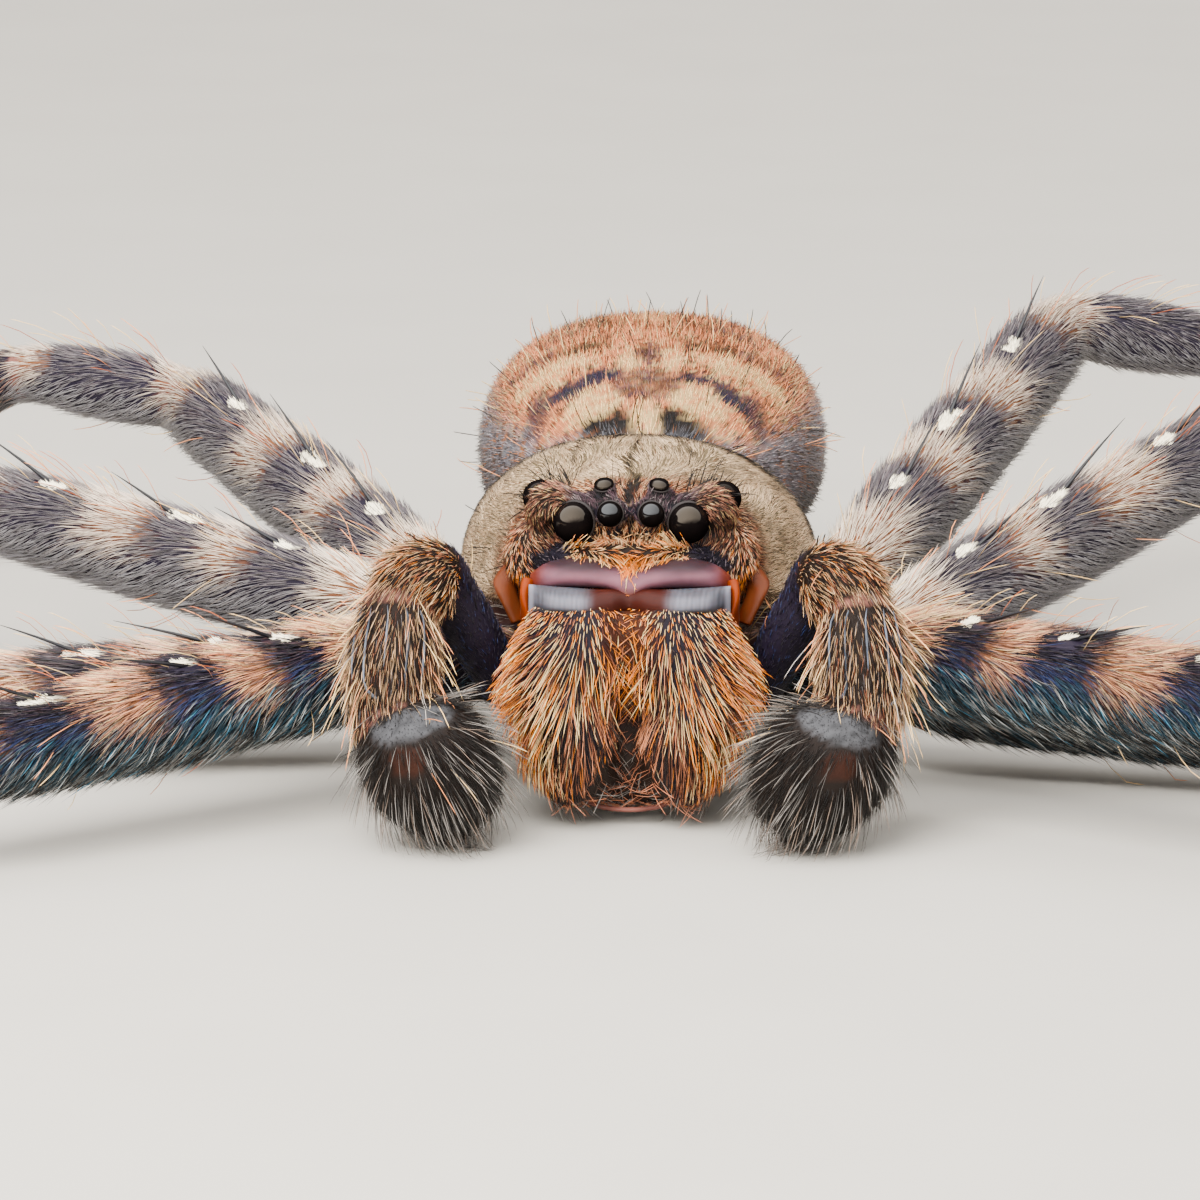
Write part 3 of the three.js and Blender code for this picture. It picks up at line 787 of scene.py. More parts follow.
def dress_carapace(spots, rng):
    """Khaki shield with a dark line, streaks and specks, a painted shadow arc near its rear, and the zones
    of the head between and below the eyes.
    """
    n = len(spots)
    pick = picker(rng, n)
    x, y, z = spots.points.T
    side = np.abs(x)
    blotch = noise(spots.points, 1.4, 11)
    fine = noise(spots.points, 0.5, 12)
    zones, gap = head_zones(spots.points)
    head = ramp(-4.3, -5.6, y + 0.4 * blotch)
    middle_line = ramp(0.14, 0.07, side) * ramp(-7.4, -7.0, y) * ramp(5.0, 3.0, y)
    # Painted shadow: a thin dark arc on the rear of the carapace where its skin turns edge-on to the view,
    # standing for the shade in the gap between carapace and abdomen
    facing_view = spots.normals @ np.array([0, -math.cos(0.2), math.sin(0.2)])
    shadow_arc = ramp(0.18, 0.1, facing_view) * ramp(-0.08, 0.0, facing_view) * (z > 6.4) * (y > -3.0)
    margin = ramp(0.5, 0.2, np.abs(z - 5.1)) * (y > -5)
    streak = ramp(0.13, 0.06, np.abs((side - 1.3) + 0.42 * (y + 1.9)))
    streak = streak * ramp(0.8, 0.6, np.abs(y + 2.6))
    specks = ramp(0.55, 0.8, noise(spots.points, 0.7, 13)) * (side > 2) * (y > -4.5)
    # dark gathers the dark marks of the carapace and the painted shadow arc, drawn below as black hair and
    # black skin
    dark = np.maximum.reduce([middle_line, shadow_arc, 0.8 * streak, 0.6 * margin, 0.5 * specks])
    dark = np.clip(dark, 0, 1)
    patches = ramp(0.1, 0.6, noise(spots.points, 0.9, 14))
    khaki = pick(
        ("olive", 1.0, [2.1, 2.05, 2.3]), ("cream", 1.1 - 0.3 * blotch, [1.0, 1.1, 1.6]),
        ("rust", 0.05), ("brown", 0.22 + 0.7 * patches + 0.15 * fine, 1.5),
    )
    warm = pick(
        ("cream", 0.7 + 0.2 * fine, [0.95, 0.88, 1.1]), ("peach", 0.55, [0.8, 0.72, 0.9]),
        ("orange", 0.08, 0.7), ("rust", 0.45, 0.8), ("brown", 1.3, 0.7),
    )
    pink = dye("peach") * 0.4 + dye("plum") * 0.4
    pinkish = pick((pink, 1.0), ("brown", 1.1), ("cream", 0.3, 0.8), ("black", 0.35))
    violet = pick(("plum", 1.0, 0.5), ("silver", 0.25, [0.7, 0.6, 0.66]), ("black", 1.3))
    straw = dye("cream") * [1, 0.95, 1.1]
    lashes = pick((straw, 1.0), ("peach", 0.6), ("rust", 0.4), ("brown", 0.7, 0.6))
    amber = pick(
        ("orange", 1.4, [1, 0.9, 1]), ("cream", 0.35), ("peach", 0.3), ("rust", 0.6, 0.8),
        ("brown", 0.9, 0.5),
    )
    low = ramp(7.6, 6.9, z)
    cheeky = pick(
        ("cream", 0.8 - 0.6 * low, [0.95, 0.88, 1.1]), ("orange", 0.15 + 1.2 * low),
        ("peach", 0.6 - 0.2 * low, [0.9, 0.8, 1.0]), ("brown", 1.2, 0.6),
    )
    specked = pick(("violet", 1.0, 0.8), ("black", 1.0), ("silver", 0.4, [0.5, 0.44, 0.55]))
    hair = mix(khaki * (0.86 + 0.24 * ramp(1.5, 4.0, side))[:, None], warm, head)
    order = ("knob", "plum", "lash", "cheek", "lip", "hem", "patch")
    for name, colours in zip(order, (pinkish, violet, lashes, cheeky, amber, lashes, specked)):
        hair = mix(hair, colours, zones[name])
    hair = mix(hair, dye("black") * 1.3, dark * (rng.random(n) < 0.93))
    skin = mix(dye("olive") * 0.2, dye("brown") * 0.2, head)
    skin = mix(skin, dye("violet") * 0.15, np.maximum(zones["plum"], zones["patch"]))
    skin = mix(skin, dye("black") * 0.6, np.maximum(dark, ramp(0.12, 0.04, gap)))
    skin = mix(skin, dye("brown") * 0.15, np.maximum(zones["lip"], zones["lash"]))
    face = ramp(-6.9, -7.3, y) * ramp(8.6, 8.4, z)
    density = 190.0 + 150 * head + 60 * zones["knob"] - 130 * face
    density = density - 80 * zones["lip"] - 60 * zones["lash"] + 60 * zones["cheek"]
    density = density * ramp(-0.03, 0.02, gap) * (1 - 0.3 * middle_line)
    density = density * np.where(spots.normals[:, 2] < -0.5, 0.2, 1.0)
    length = 0.52 - 0.04 * head - 0.14 * zones["plum"] - 0.24 * zones["patch"] - 0.06 * zones["knob"]
    length = length - 0.06 * zones["cheek"] + 0.04 * zones["lip"] + 0.1 * zones["tuft"]
    length = length - 0.12 * zones["lash"]
    length = length * rng.uniform(0.65, 1.25, n)
    width = 0.034 - 0.011 * head + 0.004 * zones["lip"] + 0.002 * zones["cheek"] + 0.002 * zones["lash"]
    lift = 11 + 9 * head + 10 * zones["lip"] + 12 * zones["cheek"] + 16 * zones["lash"]
    # roots darker than the tips, darkest on the head: painted shade deep in the coat
    ground = hair * mix(np.full((n, 1), 0.6), np.full((n, 1), 0.1), head)
    coat = Coat(spots, skin, ground, hair, density, length, width, lift)
    coat.sway = 0.1
    return coat


# Marks of the abdomen: distance from the middle line, share of the length, half width, reach as a
# share of the length, dye and strength
ABDOMEN_MARKS = (
    (0.0, 0.055, 0.55, 0.05, "cream", 1.0),
    (1.25, 0.06, 0.7, 0.042, "brown", 1.0),
    (1.6, 0.125, 0.75, 0.04, "cream", 0.9),
    (0.0, 0.17, 0.95, 0.045, "shade", 0.8),
    (1.55, 0.2, 0.65, 0.018, "slate", 1.0),
    (2.55, 0.175, 0.55, 0.022, "slate", 1.0),
    (3.4, 0.175, 0.35, 0.04, "slate", 0.8),
    (3.0, 0.285, 1.15, 0.035, "cream", 0.95),
    (0.65, 0.26, 0.3, 0.04, "cream", 0.8),
    (0.0, 0.3, 0.35, 0.05, "shade", 0.9),
    (2.0, 0.36, 0.85, 0.022, "brown", 0.85),
    (3.6, 0.38, 0.8, 0.02, "shade", 0.8),
    (1.5, 0.52, 1.0, 0.018, "brown", 0.7),
    (2.7, 0.5, 0.7, 0.018, "shade", 0.8),
    (1.3, 0.63, 1.0, 0.018, "brown", 0.7),
    (2.6, 0.61, 0.7, 0.018, "shade", 0.8),
    (1.0, 0.74, 0.9, 0.018, "brown", 0.7),
    (0.8, 0.84, 0.8, 0.018, "brown", 0.7),
    (0.0, 0.57, 0.5, 0.03, "cream", 0.5),
    (0.0, 0.69, 0.45, 0.03, "cream", 0.5),
)


def dress_abdomen(spots, rng):
    """Cream and brown marks over peach, bluish flanks, dull below."""
    n = len(spots)
    pick = picker(rng, n)
    x = spots.points[:, 0]
    t = spots.along + 0.008 * noise(spots.points, 0.8, 20)
    side = np.abs(x) + 0.12 * noise(spots.points, 0.7, 22)
    blotch = noise(spots.points, 1.7, 21)
    dyes = {
        "cream": pick(("cream", 1.0, [1.1, 1.12, 1.1]), ("peach", 0.4, 1.2)),
        "brown": pick(("brown", 1.0, 0.35), ("black", 1.0, 0.8)),
        "slate": pick(("violet", 1.0, 1.3), ("grey", 0.6), ("plum", 0.4, 0.6)),
        "shade": pick(("plum", 1.0, 0.8), ("brown", 1.0, 1.2), ("peach", 0.4, 0.6)),
    }
    hair = pick(
        ("peach", 1.0, [1.22, 1.12, 1.15]), ("cream", 0.35 - 0.15 * blotch), ("rust", 0.25),
        ("brown", 0.25, 1.5),
    )
    for middle, place, half, reach, name, strength in ABDOMEN_MARKS:
        inside = ramp(1.35, 0.95, np.hypot((side - middle) / half, (t + 0.02 - place) / reach))
        hair = mix(hair, dyes[name], inside * strength)
    flank = ramp(0.62, 0.25, spots.normals[:, 2])
    sides = pick(
        ("silver", 1.1, [0.95, 1.05, 1.3]), ("silver", 0.7, [0.55, 0.66, 0.9]),
        ("grey", 0.3 + 0.3 * (blotch > 0), 1.4), ("peach", 0.25, 0.9),
    )
    hair = mix(hair, sides, flank * 0.9)
    under = 1 - ramp(-0.4, 0.2, spots.normals[:, 2])
    hair = mix(hair, pick(("grey", 1.0), ("brown", 0.8)), under * 0.7)
    skin = hair * 0.25
    length = (0.45 + 0.35 * ramp(0.1, 0.45, spots.along)) * rng.uniform(0.6, 1.3, n)
    # roots at 0.4 of the tip colour: painted shade deep in the coat
    return Coat(spots, skin, hair * 0.4, hair, 78.0, length * 0.85, 0.05, 14 + 6 * rng.random(n))


BARE_FROM = (6.72, 6.8)  # heights between which the hair of the jaws ends
FIELD_FRONT = -8.5  # the dark field between the tips of the jaws lies in front of this
FIELD_SLOPE = 1.55
FIELD_TOP = 3.35


def dress_jaw(spots, rng):
    """Cream above and orange beside the middle, dark at the tips, thin in the field between them."""
    n = len(spots)
    pick = picker(rng, n)
    x, y, z = spots.points.T
    side = np.abs(x)
    centre = ramp(1.1, 0.3, side) * ramp(2.6, 3.8, z)
    outer = ramp(2.2, 3.0, side)
    rise = jaw_rise(spots.points)
    fringe = ramp(0.1, -0.3, rise)
    beside = ramp(3.7, 1.9, rise) * ramp(4.9, 3.6, z) * ramp(2.5, 1.7, side)
    low = np.maximum(ramp(2.6, 0.9, z) * (1 - 0.5 * outer), beside)
    hair = pick(
        ("cream", 1.0 - 0.75 * centre - 0.4 * outer - 0.85 * low, [1.08, 1.14, 1.2]),
        ("orange", 0.6 + 0.5 * centre + 0.5 * outer - 0.7 * low),
        ("peach", 0.35 + 0.4 * outer + 0.25 * low, [1.05, 1.0, 1.1]),
        ("peach", 0.7 * low, [0.5, 0.5, 0.6]), ("rust", 0.3 + 0.2 * low, 0.6),
        ("brown", 0.3 + 1.1 * low, 0.6),
    )
    thin = pick(("peach", 1.0, [0.7, 0.62, 0.75]), ("brown", 1.0), ("silver", 0.5, 0.6))
    hair = mix(hair, thin, fringe)
    skin = mix(dye("violet") * 0.16, dye("rust") * 0.1, centre)
    skin = mix(skin, dye("brown") * 0.2, fringe)
    bare = ramp(*BARE_FROM, z)
    density = (60.0 - 26 * fringe - 14 * low - 10 * centre) * (1 - bare) * np.where(y > -7.6, 0.3, 1.0)
    density = density * (1 + 0.6 * ramp(5.9, 6.5, z))
    length = 0.26 + 1.25 * ramp(6.6, 4.7, z)
    length = np.minimum(length, 0.2 + 0.8 * np.maximum(rise, 0) * rng.uniform(0.8, 1.35, n))
    length = np.minimum(length, 0.35 + 0.8 * np.maximum(z - 1.1, 0))
    length = (length + 0.5 * fringe) * rng.uniform(0.7, 1.2, n)
    width = 0.028 - 0.006 * fringe - 0.003 * low
    lift = 20 + 20 * outer + 10 * centre + 4 * ramp(3.0, 1.5, z)
    # roots at 0.08 of the tip colour: painted shade deep in the coat
    return Coat(spots, skin, hair * 0.08, hair, density, length, width, lift)


def jaw_rise(points):
    """How far each point lies above the sides of the dark field between the tips of the jaws."""
    rise = points[:, 2] + FIELD_SLOPE * np.abs(points[:, 0]) - FIELD_TOP
    return np.where(points[:, 1] < FIELD_FRONT, rise, 9.0)


def palp_parts(spots):
    """Sign of the side, article number, share of the article and joints, for palp spots."""
    sign = -1 if spots.name == "palp_left" else 1
    _, _, knots = palp_path(sign)
    article = np.clip(np.searchsorted(knots, spots.along, side="right") - 1, 0, 4)
    share = (spots.along - knots[article]) / (knots[article + 1] - knots[article])
    return sign, article, share, knots


# By article from coxa to tarsus: length, hairs on a square millimetre, width and lift
PALP_HAIR = (
    [0.45, 0.35, 0.6, 0.6, 0.7],
    [14, 60, 150, 140, 90],
    [0.04, 0.034, 0.026, 0.025, 0.032],
    [10, 8, 17, 14, 22],
)


def dress_palp(spots, rng):
    """Warm knee and shin with bare stripes, dark last article with a bare cap."""
    n = len(spots)
    pick = picker(rng, n)
    sign, article, share, knots = palp_parts(spots)
    tarsus = article == 4
    warm = pick(
        ("cream", 0.7, [1, 0.95, 1.1]), ("peach", 0.4, [1, 0.9, 1.1]), ("orange", 0.35, 0.9),
        ("rust", 0.4, 0.6), ("brown", 1.6, 0.4), ("black", 0.6),
    )
    dull = pick(
        ("brown", 1.7, 0.4), ("cream", 0.7, [0.95, 0.88, 1.05]), ("peach", 0.4, [0.9, 0.8, 0.95]),
        ("silver", 0.3, [0.6, 0.6, 0.7]), ("black", 0.8), ("rust", 0.4, 0.6),
    )
    dark = pick(("brown", 1.0, 0.5), ("black", 1.4), ("brown", 0.4))
    inner = pick(("violet", 1.0, 0.6), ("blue", 0.35, 0.4), ("black", 0.8))
    hair = np.where((article <= 1)[:, None], inner, warm)
    hair = np.where((article == 3)[:, None], dull, hair)
    hair = np.where(tarsus[:, None], dark, hair)
    skin = np.where(tarsus[:, None], dye("brown") * 0.12, dye("brown") * 0.15)
    skin = np.where((article <= 1)[:, None], dye("violet") * 0.3, skin)
    to_joint = np.abs(spots.along[:, None] - knots[None, 3:5] - np.array([0.3, 0.1])).min(axis=1)
    soft = ramp(0.2, 0.1, to_joint)
    skin = mix(skin, dye("membrane") * 0.3, soft)
    crown, scar = palp_patches(spots, sign)
    dots = ramp(0.25, 0.45, noise(spots.points, 0.09, 33))
    skin = mix(skin, dye("silver") * [0.095, 0.107, 0.13] * (1 - 0.5 * dots)[:, None], crown)
    hair = mix(hair, dye("black"), crown)
    skin = mix(skin, dye("rust") * 0.06, scar)
    stripe = palp_stripes(spots, article, share)
    length, density, width, lift = (np.choose(article, row) for row in PALP_HAIR)
    density = density * (1 - 0.8 * soft) * (1 - 0.1 * crown) * (1 - 0.97 * scar)
    density = density * (1 - 0.4 * stripe)
    length = length * rng.uniform(0.65, 1.25, n) * (1 - 0.88 * crown)
    width = width + 0.012 * crown
    # roots at 0.12 of the tip colour: painted shade deep in the coat
    coat = Coat(spots, skin, hair * 0.12, hair, density, length, width, lift)
    coat.sway = 0.04
    return coat


def palp_patches(spots, sign):
    """The bare pale cap at the base of the last article, and the bare dark patch below it."""
    wrist = mirrored(PALP[4], sign)
    x, y, z = (spots.points - (wrist + [-sign * 0.72, -1.3, 0.12])).T
    cap = np.hypot(np.hypot(x / 1.2, y / 1.3), (z + 0.25 * sign * x) / 0.42)
    scar = spots.points - (wrist + [-sign * 0.7, -1.75, -0.85])
    scar = np.linalg.norm(scar / [0.62, 1.2, 0.45], axis=1)
    return ramp(1.1, 0.9, cap), ramp(1.1, 0.9, scar)


STRIPE_ANGLES = (38, 62, 90, 118, 142)  # degrees round the shin of the palp


def palp_stripes(spots, article, share):
    """Bare shiny lines along the shin of the palp."""
    angle = np.degrees(spots.angle)
    total = np.zeros(len(spots))
    for middle in STRIPE_ANGLES:
        apart = np.abs((angle - middle + 180) % 360 - 180)
        total = np.maximum(total, ramp(5, 3.5, apart))
    return total * (article == 3) * ramp(0.05, 0.15, share) * ramp(0.98, 0.9, share)


def dress_belly(spots, rng):
    """Plain brown hair of the underside."""
    n = len(spots)
    pick = picker(rng, n)
    hair = pick(("brown", 1.0, 1.2), ("rust", 0.5), ("peach", 0.3, 0.7), ("grey", 0.5))
    length = 0.55 * rng.uniform(0.7, 1.3, n)
    # roots at 0.7 of the tip colour: painted shade deep in the coat
    return Coat(spots, dye("brown") * 0.6, hair * 0.7, hair, 16.0, length, 0.055, 16.0)


def dress(spots, rng):
    """The coat of any region, told by its name."""
    kinds = (
        ("leg", dress_leg),
        ("carapace", dress_carapace),
        ("abdomen", dress_abdomen),
        ("jaw", dress_jaw),
        ("palp", dress_palp),
    )
    for start, function in kinds:
        if spots.name.startswith(start):
            return function(spots, rng)
    return dress_belly(spots, rng)


# The way the hair lies


def lie_of(spots, rng, spread):
    """Unit directions in the skin along which the hairs lie, turned at random by about spread degrees."""
    x, _, z = spots.points.T
    lie = spots.lie.copy()
    down = np.array([0, 0, -1.0])
    side = np.sign(x)[:, None] * np.array([1.0, 0, 0])
    upright = np.clip(1 - np.abs(spots.normals[:, 2:3]), 0, 1)
    if spots.name.startswith("leg"):
        lie = lie + 0.75 * down * upright
    elif spots.name.startswith("jaw"):
        fan = 0.95 * np.clip(np.abs(x) / 3.2, 0, 1) ** 1.8 * ramp(1.5, 4.5, z)
        fan = fan - 0.3 * ramp(1.8, 0.6, np.abs(x))
        cross = np.where(rng.random(len(x)) < 0.5, 1.0, -1.0) * ramp(1.1, 0.4, np.abs(x)) * 0.6
        inward = np.sign(rng.normal(size=len(x)) + 0.5)
        lower = ramp(0.1, -0.3, jaw_rise(spots.points)) * inward * 1.3
        lie = down + side * (fan + cross - lower)[:, None] + np.array([0, -0.12, 0])
    elif spots.name == "carapace":
        lie = lie_on_head(spots, lie, side, down)
    elif spots.name == "abdomen":
        lie = lie + 0.25 * down * upright
    elif spots.name.startswith("palp"):
        sign, article, _, _ = palp_parts(spots)
        crown = mirrored(PALP[4], sign) + np.array([-sign * 0.3, -0.9, 0.9])
        radial = unit(spots.points - crown) + 0.35 * down
        lie = np.where((article == 4)[:, None], 0.35 * lie + radial, lie)
    lie = lie - spots.normals * (lie * spots.normals).sum(axis=1, keepdims=True)
    lie = unit(lie)
    turn = np.radians(spread) * (0.5 * rng.normal(size=len(spots)) + 0.9 * noise(spots.points, 0.4, 32))
    cross = np.cross(spots.normals, lie)
    return lie * np.cos(turn)[:, None] + cross * np.sin(turn)[:, None]


def lie_on_head(spots, lie, side, down):
    """Waves on the carapace, arcs round the front side eyes, and hair that falls inwards over the jaws."""
    x, y, z = spots.points.T
    zones, gap = head_zones(spots.points)
    outward = np.clip(np.abs(x) / 3, 0, 1)[:, None] * side
    swirl = noise(spots.points, 0.8, 31)[:, None] * np.array([1.0, 0, 0])
    top = np.array([0, 0.6, 0]) + 0.5 * outward + 0.7 * swirl
    place, _, _ = EYES["front_side"]
    flat = unit(np.stack([np.abs(x) - place[0], z - place[2]], axis=1))
    arc = np.stack([np.sign(x) * flat[:, 1], 0 * x, -flat[:, 0]], axis=1)
    near = ramp(-5.2, -6.3, y)[:, None]
    lie = top * (1 - near) + near * (arc + 0.35 * swirl)
    crown = ramp(1.1, 0.6, np.abs(x)) * ramp(9.3, 9.6, z)
    lie = mix(lie, np.array([0, 0.5, 0.5]) + 0.6 * swirl + 0.3 * outward, crown)
    lie = mix(lie, np.array([0, 0, 1.0]) + 1.1 * outward, zones["lash"])
    inward = -1.0 * side * (0.3 + 0.7 * ramp(0, 0.5, np.abs(x)))[:, None]
    lie = mix(lie, inward + (0.15 + 1.1 * ramp(7.95, 7.6, z))[:, None] * down, zones["lip"])
    lie = mix(lie, down + 0.45 * inward, zones["hem"])
    lie = mix(lie, down + 0.75 * inward, zones["tuft"])
    lie = mix(lie, down + 0.1 * side + 0.7 * swirl, zones["cheek"])
    _, away = eye_gaps(spots.points)
    return lie + 0.3 * away * ramp(0.15, 0.02, gap)[:, None]


# Hair meshes

PATCH = 0.003  # side of a hair's patch on the bake map
MAP_LOW, MAP_HIGH = 0.003, 0.994  # the part of a map's row that patches are placed in
LIFT_SPREAD = 5  # degrees
ROOT_DEPTH = 0.04
ROOT_GAP, TIP_GAP = 0.02, 0.07  # how far root and tip stay clear of the skin
FLOOR_GAP = 0.04
TAPER = {  # where the rings of a hair are, and their share of its width
    1: ((0.0, 1.0),),
    2: ((0.0, 0.8), (0.5, 1.0)),
    3: ((0.0, 0.75), (0.4, 1.0), (0.8, 0.7)),
    4: ((0.0, 0.7), (0.3, 1.0), (0.62, 0.95), (0.9, 0.7)),
}


def hair_arrays(spots, lie, coat, rings, bend, rng, region_row):
    """Closed three-sided hairs: points, triangles, colours and bake map corners."""
    n = len(spots)
    lift = np.radians(coat.lift + LIFT_SPREAD * rng.normal(size=n))
    across = np.cross(lie, spots.normals)
    sway = coat.sway * rng.normal(size=n)
    length = coat.length
    base = spots.points + SHIFT - spots.normals * ROOT_DEPTH

    def centre(s):
        """Middle of each hair at the share s of its length."""
        out = np.sin(lift) * s - bend * np.sin(lift) * s * s
        ahead = np.cos(lift) * s
        middle = base + (length * ahead)[:, None] * lie + (length * out)[:, None] * spots.normals
        middle += (length * sway * s * s)[:, None] * across
        if s:
            gap = ROOT_GAP + (TIP_GAP - ROOT_GAP) * s
            middle = surface().cleared(middle - SHIFT, gap, coat.over_band) + SHIFT
        middle[:, 2] = np.maximum(middle[:, 2], FLOOR_GAP)
        return middle

    points = np.empty((n, rings * 3 + 1, 3))
    shares = np.empty(rings * 3 + 1)
    for i, (s, size) in enumerate(TAPER[rings]):
        middle = centre(s)
        r = (coat.width * size / 2)[:, None]
        for j in range(3):
            turn = math.radians(90 + 120 * j)
            corner = math.cos(turn) * across + math.sin(turn) * spots.normals
            points[:, i * 3 + j] = middle + r * corner
            shares[i * 3 + j] = s
    points[:, -1] = centre(1.0)
    shares[-1] = 1.0
    faces = [(0, 2, 1)]
    for i in range(rings - 1):
        for j in range(3):
            a, b = i * 3 + j, i * 3 + (j + 1) % 3
            faces += [(a, b, b + 3), (a, b + 3, a + 3)]
    top = (rings - 1) * 3
    faces += [(top + j, top + (j + 1) % 3, rings * 3) for j in range(3)]
    faces = np.array(faces)
    count = rings * 3 + 1
    triangles = (np.arange(n)[:, None, None] * count + faces[None]).reshape(-1, 3)
    # each hair fades from its ground colour at the root to its tip colour: the darker root is painted shade
    # within the coat
    fade = shares[None, :, None]
    colours = coat.ground[:, None] * (1 - fade) + coat.tip[:, None] * fade
    row, rows = region_row
    u = np.clip(spots.share, MAP_LOW, MAP_HIGH)[:, None] + PATCH * (shares[None] - 0.5)
    v = (row + np.clip(spots.angle / (2 * np.pi), MAP_LOW, MAP_HIGH)) / rows
    v = v[:, None] + PATCH * (np.arange(count) % 3 / 2 - 0.5)[None]
    uv = np.stack([u, v], axis=-1)
    return points.reshape(-1, 3), triangles, colours.reshape(-1, 3), uv.reshape(-1, 2)


def new_mesh(name, points_mm, triangles):
    """A smooth-shaded mesh of triangles, fast to make when there are many."""
    mesh = bpy.data.meshes.new(name)
    mesh.vertices.add(len(points_mm))
    mesh.vertices.foreach_set("co", (points_mm * MM).astype(np.float32).ravel())
    mesh.loops.add(triangles.size)
    mesh.loops.foreach_set("vertex_index", triangles.astype(np.int32).ravel())
    mesh.polygons.add(len(triangles))
    mesh.polygons.foreach_set("loop_start", np.arange(0, triangles.size, 3, dtype=np.int32))
    mesh.polygons.foreach_set("use_smooth", np.ones(len(triangles), bool))
    mesh.update(calc_edges=True)
    return mesh


def set_colours(mesh, colours):
    """Stores a colour at each point, which the materials read as its dye; on the lenses it is the strength
    of their painted reflection.
    """
    layer = mesh.attributes.new("dye", "FLOAT_COLOR", "POINT")
    rgba = np.ones((len(colours), 4), np.float32)
    rgba[:, :3] = np.clip(colours, 0, 1)
    layer.data.foreach_set("color", rgba.ravel())


def new_object(name, data):
    """A new object of the scene."""
    obj = bpy.data.objects.new(name, data)
    bpy.context.scene.collection.objects.link(obj)
    return obj


def settle(obj, material, slot, *nodes):
    """Gives a finished piece its material and its place in the frame."""
    obj.data.materials.clear()
    obj.data.materials.append(material)
    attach(obj, "root")
    if nodes:
        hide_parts(*nodes)
    return obj


def coat_piece(name, slot, layers):
    """One piece made of layers: (spots, coat, rings, bend, spread, row) each."""
    points, triangles, colours, maps = [], [], [], []
    start = 0
    rng = np.random.default_rng(sum(map(ord, name)))
    for spots, coat, rings, bend, spread, row in layers:
        lie = lie_of(spots, rng, spread)
        p, t, c, uv = hair_arrays(spots, lie, coat, rings, bend, rng, row)
        points.append(p)
        triangles.append(t + start)
        colours.append(c)
        maps.append(uv)
        start += len(p)
    triangles = np.concatenate(triangles)
    mesh = new_mesh(name, np.concatenate(points), triangles)
    set_colours(mesh, np.concatenate(colours))
    layer = mesh.uv_layers.new(name="OFBake")
    corners = np.concatenate(maps)[triangles.ravel()]
    layer.data.foreach_set("uv", corners.astype(np.float32).ravel())
    return settle(new_object(name, mesh), hair_material(), slot)


# Materials


def add_node(tree, kind, settings=(), **links):
    """Adds a node, sets its properties and sockets, and links sockets given as links."""
    node = tree.nodes.new(kind)
    for key, value in dict(settings).items():
        if isinstance(key, str) and hasattr(node, key):
            setattr(node, key, value)
        else:
            node.inputs[key].default_value = value
    for key, socket in links.items():
        tree.links.new(socket, node.inputs[int(key[1:]) if key[0] == "i" and key[1:].isdigit() else key])
    return node


def new_material(name, values, paint):
    """The material of that name, made at its first use: paint adds its nodes, values are plain sockets."""
    material = bpy.data.materials.get(name)
    if material is None:
        material = bpy.data.materials.new(name)
        material.use_nodes = True
        shader = material.node_tree.nodes["Principled BSDF"]
        paint(material.node_tree, shader)
        for key, value in values.items():
            shader.inputs[key].default_value = value
    return material


def grain(tree, size_mm, detail=3.0):
    """Noise over the object with features of size_mm."""
    place = add_node(tree, "ShaderNodeTexCoord")
    settings = {"Scale": 1 / (size_mm * MM), "Detail": detail}
    return add_node(tree, "ShaderNodeTexNoise", settings, Vector=place.outputs["Object"]).outputs[0]


def paint_dyed(tree, shader, size_mm, low, high):
    """Colours from the piece's own dye, low to high times as bright in blotches of size_mm."""
    own = add_node(tree, "ShaderNodeAttribute", {"attribute_name": "dye"})
    mottle = grain(tree, size_mm)
    value = add_node(tree, "ShaderNodeMapRange", {"To Min": low, "To Max": high}, Value=mottle)
    settings = {"data_type": "RGBA", "blend_type": "MULTIPLY", 0: 1.0}
    tinted = add_node(tree, "ShaderNodeMix", settings, i6=own.outputs["Color"], i7=value.outputs[0])
    tree.links.new(tinted.outputs[2], shader.inputs["Base Color"])


def paint_two(tree, shader, size_mm, light, dark):
    """Colours that vary between two in blotches of size_mm."""
    settings = {"data_type": "RGBA", 6: (*dark, 1), 7: (*light, 1)}
    colours = add_node(tree, "ShaderNodeMix", settings, i0=grain(tree, size_mm))
    tree.links.new(colours.outputs[2], shader.inputs["Base Color"])


def add_relief(tree, shader, size_mm, depth_mm, strength, detail=3.0):
    """Bumps of depth_mm with features of size_mm."""
    settings = {"Strength": strength, "Distance": depth_mm * MM}
    relief = add_node(tree, "ShaderNodeBump", settings, Height=grain(tree, size_mm, detail))
    tree.links.new(relief.outputs[0], shader.inputs["Normal"])


def hair_material():
    """Seta: a hollow horny hair, coloured along its length from its dye and darker towards its root as
    painted shade, with a soft gloss.
    """

    def paint(tree, shader):
        paint_dyed(tree, shader, 0.5, 0.75, 1.25)

    return new_material("seta", {"Roughness": 0.42, "IOR": 1.5, "Specular IOR Level": 0.38}, paint)


def skin_material():
    """Cuticle: thin dark horn under the coat, finely wrinkled."""

    def paint(tree, shader):
        paint_dyed(tree, shader, 0.35, 0.6, 1.4)
        add_relief(tree, shader, 0.08, 0.03, 0.5, 2.0)

    return new_material("cuticle", {"Roughness": 0.6, "IOR": 1.45, "Specular IOR Level": 0.2}, paint)


def simple_material(name, light, dark, size_mm, roughness, coat=0.0, bump=0.0):
    """A horny finish that varies between two hex colours in blotches of size_mm."""

    def paint(tree, shader):
        paint_two(tree, shader, size_mm, linear(light), linear(dark))
        if bump:
            add_relief(tree, shader, size_mm / 5, 0.02, bump)

    values = {"Roughness": roughness, "Coat Weight": coat, "Coat Roughness": 0.05, "IOR": 1.5}
    return new_material(name, values, paint)


